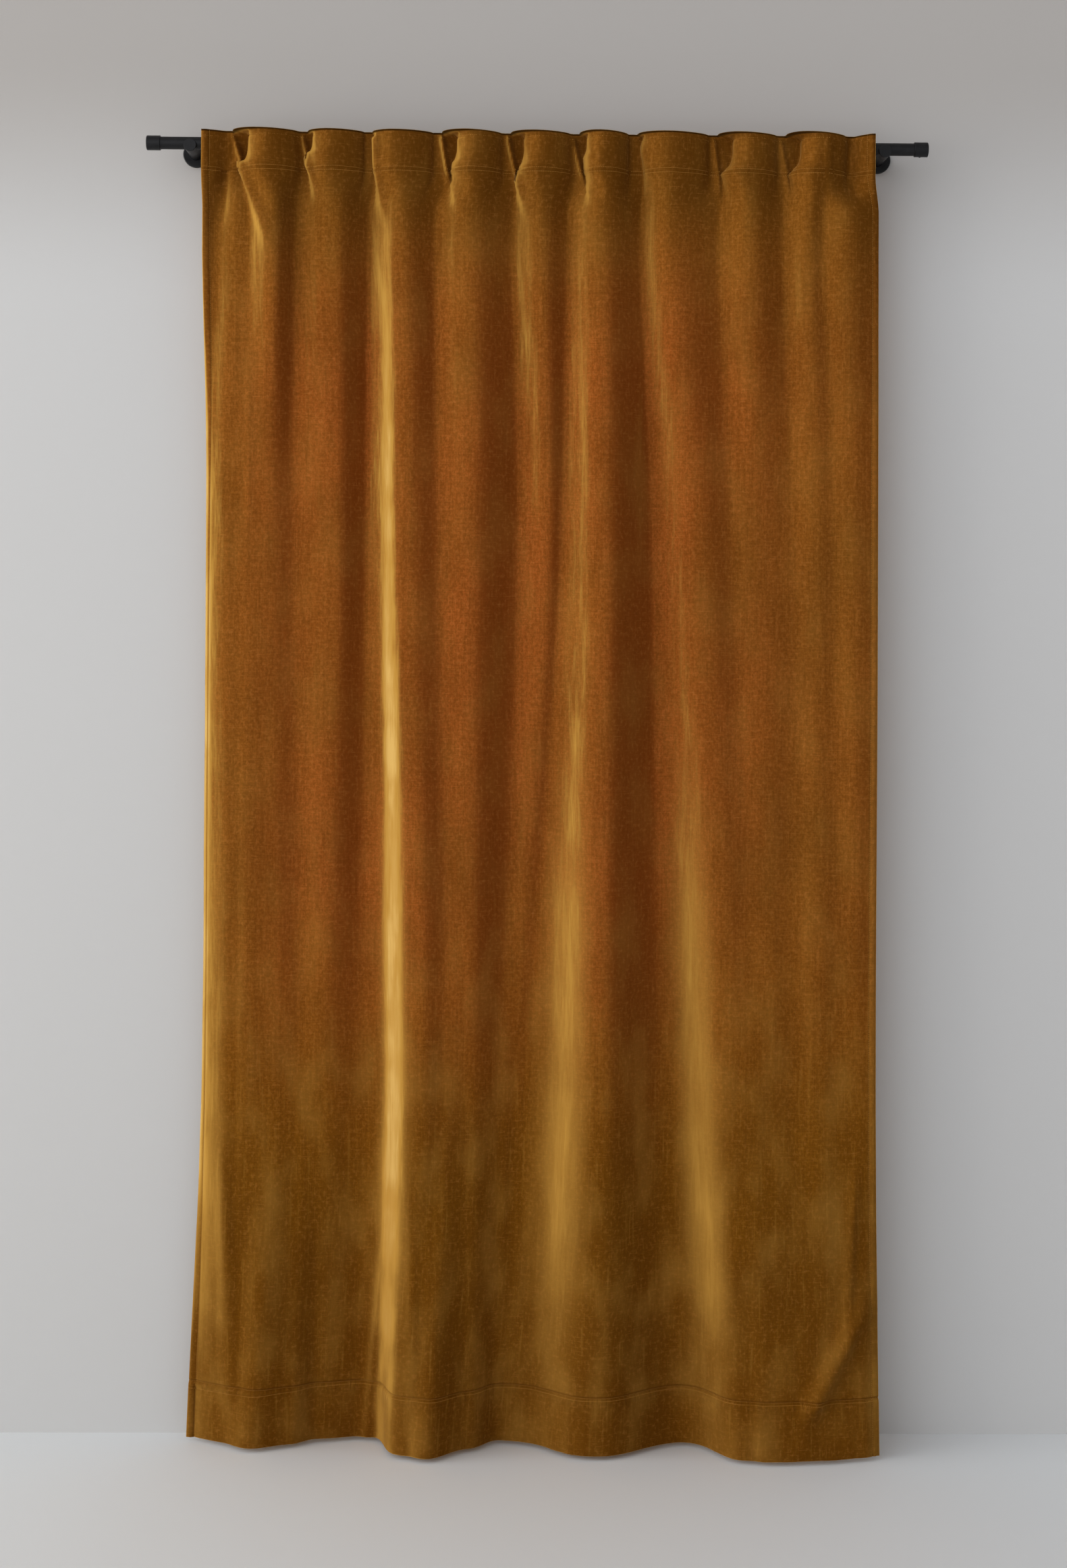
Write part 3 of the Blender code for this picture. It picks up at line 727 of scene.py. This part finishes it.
def ranged(tree, value, low, high, at_low, at_high):
    """A soft ramp over the value, from at_low at low to at_high at high."""
    node = tree.nodes.new("ShaderNodeMapRange")
    node.interpolation_type = "SMOOTHSTEP"
    tree.links.new(value, node.inputs["Value"])
    ends = {"From Min": low, "From Max": high, "To Min": at_low, "To Max": at_high}
    for name, number in ends.items():
        node.inputs[name].default_value = number
    return node.outputs["Result"]


def blended(tree, factor, a, b):
    """The colour between two others; each is a socket or a fixed colour."""
    node = tree.nodes.new("ShaderNodeMix")
    node.data_type = "RGBA"
    feed(tree, node.inputs["Factor"], factor)
    for name, value in (("A", a), ("B", b)):
        feed(tree, next(s for s in node.inputs if s.name == name and s.type == "RGBA"), value)
    return next(s for s in node.outputs if s.type == "RGBA")


def computed(tree, operation, *values):
    """A Math node's output for these values; each is a socket or a number."""
    node = add_node(tree, "ShaderNodeMath", operation=operation)
    for socket, value in zip(node.inputs, values):
        feed(tree, socket, value)
    return node.outputs["Value"]


def near(tree, value, middle, reach):
    """1 at the middle value, falling to 0 at reach from it."""
    away = computed(tree, "ABSOLUTE", computed(tree, "SUBTRACT", value, middle))
    return ranged(tree, away, 0.0, reach, 1.0, 0.0)


def bumped(tree, height, strength, distance, below=None):
    """The surface normal bumped by a height, over the bumps below it."""
    bump = add_node(tree, "ShaderNodeBump", Strength=strength, Distance=distance)
    tree.links.new(height, bump.inputs["Height"])
    if below is not None:
        tree.links.new(below, bump.inputs["Normal"])
    return bump.outputs["Normal"]


OCHRE = (0.262, 0.098, 0.0125)
RUST = (0.358, 0.090, 0.0155)
# Dark brown: the pile's darker streaks and grain, and painted shade.
DARK_PILE_AND_SHADE = (0.100, 0.034, 0.0036)
# Deep red: painted shade on the sides turned from the light and in the hollows.
HOLLOW_SHADE = (0.185, 0.037, 0.0060)
OLIVE = (0.225, 0.086, 0.0060)
# Lighter gold: worn patches of pile, and painted highlights.
GILT_AND_HIGHLIGHT = (0.46, 0.242, 0.044)
# Pale gold: the painted sheen.
PAINTED_SHEEN_GOLD = (0.63, 0.395, 0.115)
SLUB = (0.52, 0.22, 0.050)
# Near black: the painted shade of the top rim.
RIM_SHADE = (0.018, 0.007, 0.0012)
UNLIT = (0, 0, 0)
SHEEN = (1.0, 0.60, 0.18, 1)

# Unevenness of the cloth: how many grains there are in a metre across and down it.
#    noise          across  down  detail  rough
NOISES = (
    ("streaks",        110,    8,      4,  0.55),
    ("clouds",           7,    4,      3,  0.50),
    ("patches",        3.2,  1.6,      2,  0.50),
    ("grain",          300,  240,      2,  0.60),
    ("wefts",           36,  430,      2,  0.60),
    ("warps",          420,   22,      2,  0.60),
    ("mottle",         150,  110,      3,  0.60),
    ("worn",            14,    7,      4,  0.45),
    ("brushed",         30,    5,      3,  0.45),
    ("puckers",        150,   24,      1,  0.50),
    ("side_puckers",    60,  110,      1,  0.50),
)

velvet, tree, shader = new_material("ochre_velvet")
cloth_place = add_node(tree, "ShaderNodeUVMap", uv_map="weave").outputs["UV"]
object_place = tree.nodes.new("ShaderNodeTexCoord").outputs["Object"]
facing = tree.nodes.new("ShaderNodeNewGeometry").outputs["Normal"]
read = {
    name: noise_on(tree, cloth_place, (grains_across, grains_down), detail, rough)
    for name, grains_across, grains_down, detail, rough in NOISES
}
read["across"], read["down"], _ = axes_of(tree, cloth_place)
read["x"], _, read["z"] = axes_of(tree, object_place)
read["facing_right"] = axes_of(tree, facing)["X"]
read["shade_in_hollows"] = add_node(tree, "ShaderNodeAttribute", attribute_name="shade_in_hollows").outputs["Fac"]


def zone(*ramps):
    """How far a spot lies in a zone, which is the product of one ramp or more.

    Each ramp is (what is read, low, high, share at low, share at high).
    """
    share = None
    for name, *ramp in ramps:
        step = ranged(tree, read[name], *ramp)
        share = step if share is None else computed(tree, "MULTIPLY", share, step)
    return share


# The painted sheen: a highlight painted into the colour where the pile is seen on edge. It reaches
# further in low down, where the folds are shallow.
HIGH_SHEEN_FACING = (0.02, 0.50)
LOW_SHEEN_FACING = (0.02, 0.66)
PAINTED_SHEEN_SPREADS = ("z", -1.45, -1.95, 0.0, 1.0)
BRUSH_DEPTH = 0.0030

# Each row keeps the painted sheen down by a share that changes along what is read; one keeps it
# off the surfaces that face right, away from the light.
#    read       low    high   at_low  at_high
PAINTED_SHEEN_SHARES = (
    ("z",       -2.42, -1.90,   0.42,     1.0),
    ("z",       -0.05, -0.40,   0.36,     1.0),
    ("facing_right",      0.12, -0.10,   0.10,     1.0),
    ("clouds",   0.35,  0.60,   0.65,     1.0),
    ("streaks",  0.35,  0.60,   0.86,     1.0),
    ("worn",     0.32,  0.58,   0.62,     1.0),
)

# The zones where the painted sheen is dulled: the hem right of the main fold, the bottom's left
# side, the heading's right half, the painted shade in the pockets and the heading's right end.
PAINTED_SHEEN_DULLED = (
    (("z", -2.05, -2.36, 0.0, 1.0), ("x", -0.15, 0.0, 0.0, 0.55), ("x", 0.44, 0.56, 1.0, 0.25)),
    (("z", -1.80, -2.15, 0.0, 1.0), ("x", -0.50, -0.56, 0.0, 0.42)),
    (("z", -0.16, -0.06, 0.0, 1.0), ("x", -0.05, 0.50, 0.0, 0.80)),
    (("shade_in_hollows", 0.20, 0.90, 0.0, 0.85),),
    (("z", -0.30, -0.14, 0.0, 1.0), ("x", 0.585, 0.620, 0.0, 0.90)),
)

edgewise = add_node(tree, "ShaderNodeLayerWeight", Blend=0.5)
tree.links.new(bumped(tree, read["brushed"], 1.0, BRUSH_DEPTH), edgewise.inputs["Normal"])
high_painted_sheen = ranged(tree, edgewise.outputs["Facing"], *HIGH_SHEEN_FACING, 0.0, 1.0)
low_painted_sheen = ranged(tree, edgewise.outputs["Facing"], *LOW_SHEEN_FACING, 0.0, 1.0)
painted_sheen = blended(tree, zone(PAINTED_SHEEN_SPREADS), high_painted_sheen, low_painted_sheen)
for ramp in PAINTED_SHEEN_SHARES:
    painted_sheen = computed(tree, "MULTIPLY", painted_sheen, zone(ramp))
for ramps in PAINTED_SHEEN_DULLED:
    painted_sheen = blended(tree, zone(*ramps), painted_sheen, UNLIT)
read["painted_sheen"] = painted_sheen

# What is laid over the dye, in this order: a colour, and the ramps of the zone where it shows.
# Some rows are the cloth's own tone, others painted shade and painted highlights, as marked. RUSTY
# is the middle of the panel's height, where the colour is redder.
RUSTY = (
    ("z", -2.05, -1.35, 0.0, 1.0), ("z", -0.45, -0.04, 1.0, 0.0),
    ("x", 0.25, 0.55, 1.0, 0.45), ("x", -0.60, -0.45, 0.35, 1.0),
)
#    colour  ramps: what is read, low, high, share at low, share at high
LAYERS = (
    (OLIVE,  ("z", -1.25, -1.95, 0.0, 1.0)),
    (RUST,   *RUSTY, ("patches", 0.30, 0.60, 0.55, 1.0)),
    (DARK_PILE_AND_SHADE,  ("streaks", 0.35, 0.75, 0.0, 0.26)),
    (DARK_PILE_AND_SHADE,  ("clouds", 0.38, 0.66, 0.0, 0.26)),
    (DARK_PILE_AND_SHADE,  ("grain", 0.36, 0.64, 0.0, 0.34)),
    (DARK_PILE_AND_SHADE,  ("wefts", 0.42, 0.66, 0.0, 0.20)),
    (DARK_PILE_AND_SHADE,  ("warps", 0.42, 0.66, 0.0, 0.18)),
    (DARK_PILE_AND_SHADE,  ("mottle", 0.42, 0.64, 0.0, 0.27)),
    # Painted shade: darker towards the bottom, where less light reaches, and a little darker at
    # the heading.
    (DARK_PILE_AND_SHADE,  ("z", -1.50, -2.40, 0.0, 0.55)),
    (DARK_PILE_AND_SHADE,  ("z", -0.25, -0.05, 0.0, 0.12)),
    # Painted shade on the heading where it faces right, away from the light, and at its right end.
    (DARK_PILE_AND_SHADE,  ("z", -0.22, -0.06, 0.0, 1.0), ("facing_right", -0.35, 0.15, 0.08, 0.72)),
    (DARK_PILE_AND_SHADE,  ("z", -0.30, -0.14, 0.0, 0.50), ("x", 0.585, 0.620, 0.0, 0.90)),
    # Painted shade in the pockets and in the first crease's hollow.
    (DARK_PILE_AND_SHADE,  ("shade_in_hollows", 0.15, 0.90, 0.0, 0.62)),
    # Painted shade: deep red on surfaces turned right, away from the light, and dark brown beside
    # them.
    (HOLLOW_SHADE, ("facing_right", -0.10, 0.55, 0.0, 0.70), *RUSTY),
    (DARK_PILE_AND_SHADE,  ("facing_right", -0.05, 0.60, 0.0, 0.30)),
    (GILT_AND_HIGHLIGHT,   ("worn", 0.40, 0.80, 0.0, 1.0), ("z", -1.30, -2.05, 0.10, 0.26)),
    (GILT_AND_HIGHLIGHT,   ("streaks", 0.45, 0.25, 0.0, 0.5), ("z", -1.30, -2.05, 0.10, 0.26)),
    (SLUB,   ("wefts", 0.44, 0.24, 0.0, 0.15)),
    (SLUB,   ("warps", 0.42, 0.24, 0.0, 0.10)),
    (SLUB,   ("mottle", 0.50, 0.28, 0.0, 0.14)),
    # Painted highlights: lighter gold on the flanks that face left, toward the light, low down,
    # and at the panel's right edge.
    (GILT_AND_HIGHLIGHT,   ("facing_right", -0.05, -0.80, 0.0, 0.45), ("z", -1.0, -1.6, 0.0, 1.0),
             ("z", -2.05, -2.30, 1.0, 0.25)),
    (GILT_AND_HIGHLIGHT,   ("x", 0.630, 0.648, 0.0, 0.16), ("z", -0.20, -0.50, 0.0, 1.0)),
    # The painted sheen: gold where it is faint, pale gold where it is strong.
    (GILT_AND_HIGHLIGHT,   ("painted_sheen", 0.0, 0.45, 0.0, 1.0)),
    (PAINTED_SHEEN_GOLD,   ("painted_sheen", 0.35, 1.0, 0.0, 1.0), ("x", 0.10, -0.15, 0.65, 1.0)),
)

# The lines where the pile is sewn in, darkened partly for the drawn-in pile and partly as painted
# shade under the turned cloth, and the top edge's dark rim, a painted shade where the edge turns
# up away from the light.
#    read       middle                            reach    share
SEAM_AND_RIM_SHADE = (
    ("down",    0.0,                              0.006,   0.60),
    ("down",    TOP_ROW,                          0.0025,  0.15),
    ("down",    sum(HEADING_ROWS) / 2 + 0.001,    0.0055,  0.25),
    ("down",    HEM_ROW - 0.0020,                 0.0042,  0.62),
    ("across",  SIDE_HEM,                         0.0028,  0.45),
    ("across",  FLAT_WIDTH - SIDE_HEM,            0.0028,  0.45),
)
TOP_RIM_SHADE = ("down", 0.0048, 0.0022, 0.0, 0.92)

colour = OCHRE
for laid_over, *ramps in LAYERS:
    colour = blended(tree, zone(*ramps), colour, laid_over)
for name, middle, reach, share in SEAM_AND_RIM_SHADE:
    seam_shade = computed(tree, "MULTIPLY", near(tree, read[name], middle, reach), share)
    colour = blended(tree, seam_shade, colour, DARK_PILE_AND_SHADE)
colour = blended(tree, zone(TOP_RIM_SHADE), colour, RIM_SHADE)
tree.links.new(colour, shader.inputs["Base Color"])
shader.inputs["Roughness"].default_value = 1.0
shader.inputs["Specular IOR Level"].default_value = 0.0
shader.inputs["Sheen Weight"].default_value = 0.6
shader.inputs["Sheen Roughness"].default_value = 0.3
shader.inputs["Sheen Tint"].default_value = SHEEN

# The fine relief: puckers at the hem, the heading and the side hems, then the pile's
# streaks and the weave's grain. Each is read, shown by a share, and given its strength and
# depth.
HEM_PUCKERS = (HEM_ROW + 0.006, 0.016)
HEADING_PUCKERS = (HEADING_ROWS[1], 0.012)
PUCKERED_TO, PUCKERED_FROM = 0.010, 0.030

normal = None
for name, shown, strength, depth in (
    ("puckers", near(tree, read["down"], *HEM_PUCKERS), 0.9, 0.0034),
    ("puckers", near(tree, read["down"], *HEADING_PUCKERS), 0.8, 0.0018),
    ("side_puckers", zone(("across", PUCKERED_FROM, PUCKERED_TO, 0.0, 1.0)), 0.8, 0.0020),
    (
        "side_puckers",
        zone(("across", FLAT_WIDTH - PUCKERED_FROM, FLAT_WIDTH - PUCKERED_TO, 0.0, 1.0)),
        0.8, 0.0020,
    ),
    ("streaks", 1.0, 0.30, 0.0012),
    ("grain", read["wefts"], 0.30, 0.0006),
):
    raised = computed(tree, "MULTIPLY", read[name], shown)
    normal = bumped(tree, raised, strength, depth, normal)
tree.links.new(normal, shader.inputs["Normal"])


# The back of the velvet is its plain ground weave, duller than the pile.
GROUND = (0.260, 0.125, 0.026)
GROUND_DARK = (0.150, 0.066, 0.012)

backing, tree, shader = new_material("velvet_ground")
cloth_place = add_node(tree, "ShaderNodeUVMap", uv_map="weave").outputs["UV"]
colour = GROUND
for stretch, low, high, share in (
    ((30, 900), 0.40, 0.65, 0.45), ((900, 30), 0.40, 0.65, 0.45), ((5, 3), 0.35, 0.70, 0.35)
):
    threads_seen = noise_on(tree, cloth_place, stretch, 2, 0.5)
    colour = blended(tree, ranged(tree, threads_seen, low, high, 0.0, share), colour, GROUND_DARK)
tree.links.new(colour, shader.inputs["Base Color"])
weave = noise_on(tree, cloth_place, (500, 500), 2, 0.6)
tree.links.new(bumped(tree, weave, 0.4, 0.0006), shader.inputs["Normal"])
shader.inputs["Roughness"].default_value = 0.95
for finish in (velvet, backing, velvet, velvet):
    panel_mesh.materials.append(finish)


# The thread of the stitches, in the velvet's own colour but lighter.
THREAD = (0.42, 0.205, 0.036)

thread, tree, shader = new_material("ochre_thread")
thread_place = tree.nodes.new("ShaderNodeTexCoord").outputs["Object"]
twist = noise_on(tree, thread_place, (900, 900), 1, 0.5)
colour = blended(tree, ranged(tree, twist, 0.35, 0.65, 0.0, 0.5), THREAD, OCHRE)
tree.links.new(colour, shader.inputs["Base Color"])
shader.inputs["Roughness"].default_value = 0.8
shader.inputs["Specular IOR Level"].default_value = 0.1
stitch_mesh.materials.append(thread)


# The hanging loops behind the heading: cotton webbing, ribbed across its width.
WEBBING = (0.42, 0.25, 0.070)
WEBBING_DARK = (0.20, 0.11, 0.028)
RIBS = 3200

webbing, tree, shader = new_material("cotton_webbing")
place = tree.nodes.new("ShaderNodeTexCoord").outputs["Object"]
ribs = add_node(tree, "ShaderNodeTexWave", Scale=RIBS / (2 * math.pi), Distortion=0.6)
ribs.bands_direction = "X"
tree.links.new(place, ribs.inputs["Vector"])
yarn = add_node(tree, "ShaderNodeTexNoise", Scale=700, Detail=2)
tree.links.new(place, yarn.inputs["Vector"])
colour = WEBBING
for pattern, low, high, share in ((ribs, 0.6, 0.1, 0.5), (yarn, 0.4, 0.7, 0.4)):
    seen = ranged(tree, pattern.outputs["Fac"], low, high, 0.0, share)
    colour = blended(tree, seen, colour, WEBBING_DARK)
tree.links.new(colour, shader.inputs["Base Color"])
tree.links.new(bumped(tree, ribs.outputs["Fac"], 0.5, 0.0004), shader.inputs["Normal"])
shader.inputs["Roughness"].default_value = 0.9
shader.inputs["Sheen Weight"].default_value = 0.2


# The rod and its brackets: turned steel in satin black powder coat, with the coat's fine
# orange-peel texture and a little dust and rubbing.
COAT = (0.0022, 0.0022, 0.0030)
COAT_DUSTY = (0.009, 0.009, 0.010)

black, tree, shader = new_material("black_powder_coat")
place = tree.nodes.new("ShaderNodeTexCoord").outputs["Object"]
dust = add_node(tree, "ShaderNodeTexNoise", Scale=60, Detail=4, Roughness=0.6)
tree.links.new(place, dust.inputs["Vector"])
dusty = ranged(tree, dust.outputs["Fac"], 0.50, 0.75, 0.0, 0.6)
tree.links.new(blended(tree, dusty, COAT, COAT_DUSTY), shader.inputs["Base Color"])
rubbed = ranged(tree, dust.outputs["Fac"], 0.30, 0.70, 0.32, 0.48)
tree.links.new(rubbed, shader.inputs["Roughness"])
peel = add_node(tree, "ShaderNodeTexNoise", Scale=900, Detail=1)
tree.links.new(place, peel.inputs["Vector"])
tree.links.new(bumped(tree, peel.outputs["Fac"], 0.25, 0.0002), shader.inputs["Normal"])
shader.inputs["Specular IOR Level"].default_value = 0.30
for name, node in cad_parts.items():
    if name != "drape":
        node.data.materials.clear()
        node.data.materials.append(webbing if name.startswith("tab") else black)


# The set screws that hold the end caps: the right one underneath, the left one behind.
SCREW_RADIUS = 0.0017
SCREW_PROUD = 0.0011
SCREW_BACK = 0.0155
SCREW_ROUND = 0.0003
SOCKET_RIM = 0.0005
SOCKET_SLOPE = 0.0001
SOCKET_DEPTH = 0.0008

for side, direction in (("left", (0, 1, 0)), ("right", (0, 0, -1))):
    cap_low, cap_high = (Vector(corner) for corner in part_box("cap_" + side))
    inner = cap_high.x - SCREW_BACK if side == "right" else cap_low.x + SCREW_BACK
    middle = (cap_low + cap_high) / 2
    reach = (cap_high.z - cap_low.z) / 2
    head = bmesh.new()
    bmesh.ops.create_cone(
        head, segments=18, radius1=SCREW_RADIUS, radius2=SCREW_RADIUS, depth=4 * SCREW_PROUD,
        cap_ends=True,
    )
    crown = max(head.faces, key=lambda face: face.calc_center_median().z)
    bmesh.ops.bevel(
        head, geom=list(crown.edges), offset=SCREW_ROUND, segments=2, affect="EDGES", profile=0.5
    )
    crown = max(head.faces, key=lambda face: face.calc_center_median().z)
    for thickness, depth in ((SOCKET_RIM, 0), (SOCKET_SLOPE, -SOCKET_DEPTH)):
        bmesh.ops.inset_individual(head, faces=[crown], thickness=thickness, depth=depth)
    turn = Vector(direction).to_track_quat("Z", "Y").to_matrix().to_4x4()
    place = Vector((inner, middle.y, middle.z)) + Vector(direction) * (reach - SCREW_PROUD)
    bmesh.ops.transform(head, matrix=Matrix.Translation(place) @ turn, verts=head.verts)
    screw_mesh = bpy.data.meshes.new("set_screw_" + side)
    head.to_mesh(screw_mesh)
    head.free()
    screw_mesh.materials.append(black)
    set_screw = bpy.data.objects.new("set_screw_" + side, screw_mesh)
    scene.collection.objects.link(set_screw)
    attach(set_screw, "root")


# The floor and the backdrop behind the panel, pale and matt; the backdrop is painted darker
# towards its top, a painted shade. The backdrop is clear from behind, so that the panel's back can
# be seen.
FLOOR = -2.4823
BACKDROP_GAP = 0.0005
STAGE_SIZE = 6
BACKDROP = (0.60, 0.60, 0.595)
BACKDROP_TOP_SHADE = (0.43, 0.41, 0.39)
FLOOR_PAINT = (0.80, 0.83, 0.85, 1)

pale, tree, shader = new_material("pale_backdrop")
upward = axes_of(tree, tree.nodes.new("ShaderNodeTexCoord").outputs["Object"])["Z"]
# Painted shade: the backdrop darkens towards its top.
top_shade = ranged(tree, upward, -0.30, 0.20, 0.0, 1.0)
tree.links.new(blended(tree, top_shade, BACKDROP, BACKDROP_TOP_SHADE), shader.inputs["Base Color"])
shader.inputs["Roughness"].default_value = 1.0
behind = tree.nodes.new("ShaderNodeNewGeometry").outputs["Backfacing"]
clear = tree.nodes.new("ShaderNodeBsdfTransparent")
one_sided = tree.nodes.new("ShaderNodeMixShader")
tree.links.new(behind, one_sided.inputs["Fac"])
tree.links.new(shader.outputs["BSDF"], one_sided.inputs[1])
tree.links.new(clear.outputs["BSDF"], one_sided.inputs[2])
tree.links.new(one_sided.outputs["Shader"], tree.nodes["Material Output"].inputs["Surface"])
floor_paint, tree, shader = new_material("pale_floor")
shader.inputs["Base Color"].default_value = FLOOR_PAINT
shader.inputs["Roughness"].default_value = 0.8
for name, turn, place, finish in (
    ("floor", 0, (0, 0, FLOOR), floor_paint),
    ("backdrop", math.pi / 2, (0, BACKDROP_GAP, FLOOR + STAGE_SIZE), pale),
):
    sheet = bmesh.new()
    bmesh.ops.create_grid(sheet, x_segments=1, y_segments=1, size=STAGE_SIZE)
    moved = Matrix.Translation(place) @ Matrix.Rotation(turn, 4, "X")
    bmesh.ops.transform(sheet, matrix=moved, verts=sheet.verts)
    mesh = bpy.data.meshes.new(name)
    sheet.to_mesh(mesh)
    sheet.free()
    mesh.materials.append(finish)
    surface = bpy.data.objects.new(name, mesh)
    scene.collection.objects.link(surface)


# The light: bright from the left and dim from the right and from above, with one large
# soft window at the left. A window behind lights only the cloth, its stitching and loops.
SKY_LEFT = (2.08, 2.08, 2.12)
SKY_RIGHT = (0.42, 0.43, 0.45)
SKY_ABOVE = (0.30, 0.28, 0.26)

world = bpy.data.worlds.new("studio")
scene.world = world
world.use_nodes = True
sky_tree = world.node_tree
toward = axes_of(sky_tree, sky_tree.nodes.new("ShaderNodeTexCoord").outputs["Generated"])
right = ranged(sky_tree, toward["X"], -0.80, 0.35, 0.0, 1.0)
above = ranged(sky_tree, toward["Z"], 0.25, 0.95, 0.0, 0.75)
sky = blended(sky_tree, above, blended(sky_tree, right, SKY_LEFT, SKY_RIGHT), SKY_ABOVE)
sky_tree.links.new(sky, sky_tree.nodes["Background"].inputs["Color"])
sky_tree.nodes["Background"].inputs["Strength"].default_value = 1.0


def add_window(name, place, size, power, tint):
    light = bpy.data.lights.new(name, "AREA")
    light.size = size
    light.energy = power
    light.color = tint
    window = bpy.data.objects.new(name, light)
    scene.collection.objects.link(window)
    window.location = place
    window.rotation_euler = (AIM - Vector(place)).to_track_quat("-Z", "Y").to_euler()
    return window


AIM = Vector((0, 0, -1.2))
add_window("left_window", (-4.6, -1.9, -0.9), 2.4, 60, (1.0, 0.93, 0.84))
rear_window = add_window("rear_window", (1.6, 3.4, 0.4), 2.6, 130, (1.0, 0.98, 0.95))
lit_from_behind = bpy.data.collections.new("lit_from_behind")
loops = [node for name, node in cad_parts.items() if name.startswith("tab")]
for piece in (velvet_panel, stitching, *loops):
    lit_from_behind.objects.link(piece)
rear_window.light_linking.receiver_collection = lit_from_behind
rear_window.light_linking.blocker_collection = lit_from_behind
scene.view_settings.view_transform = "Standard"
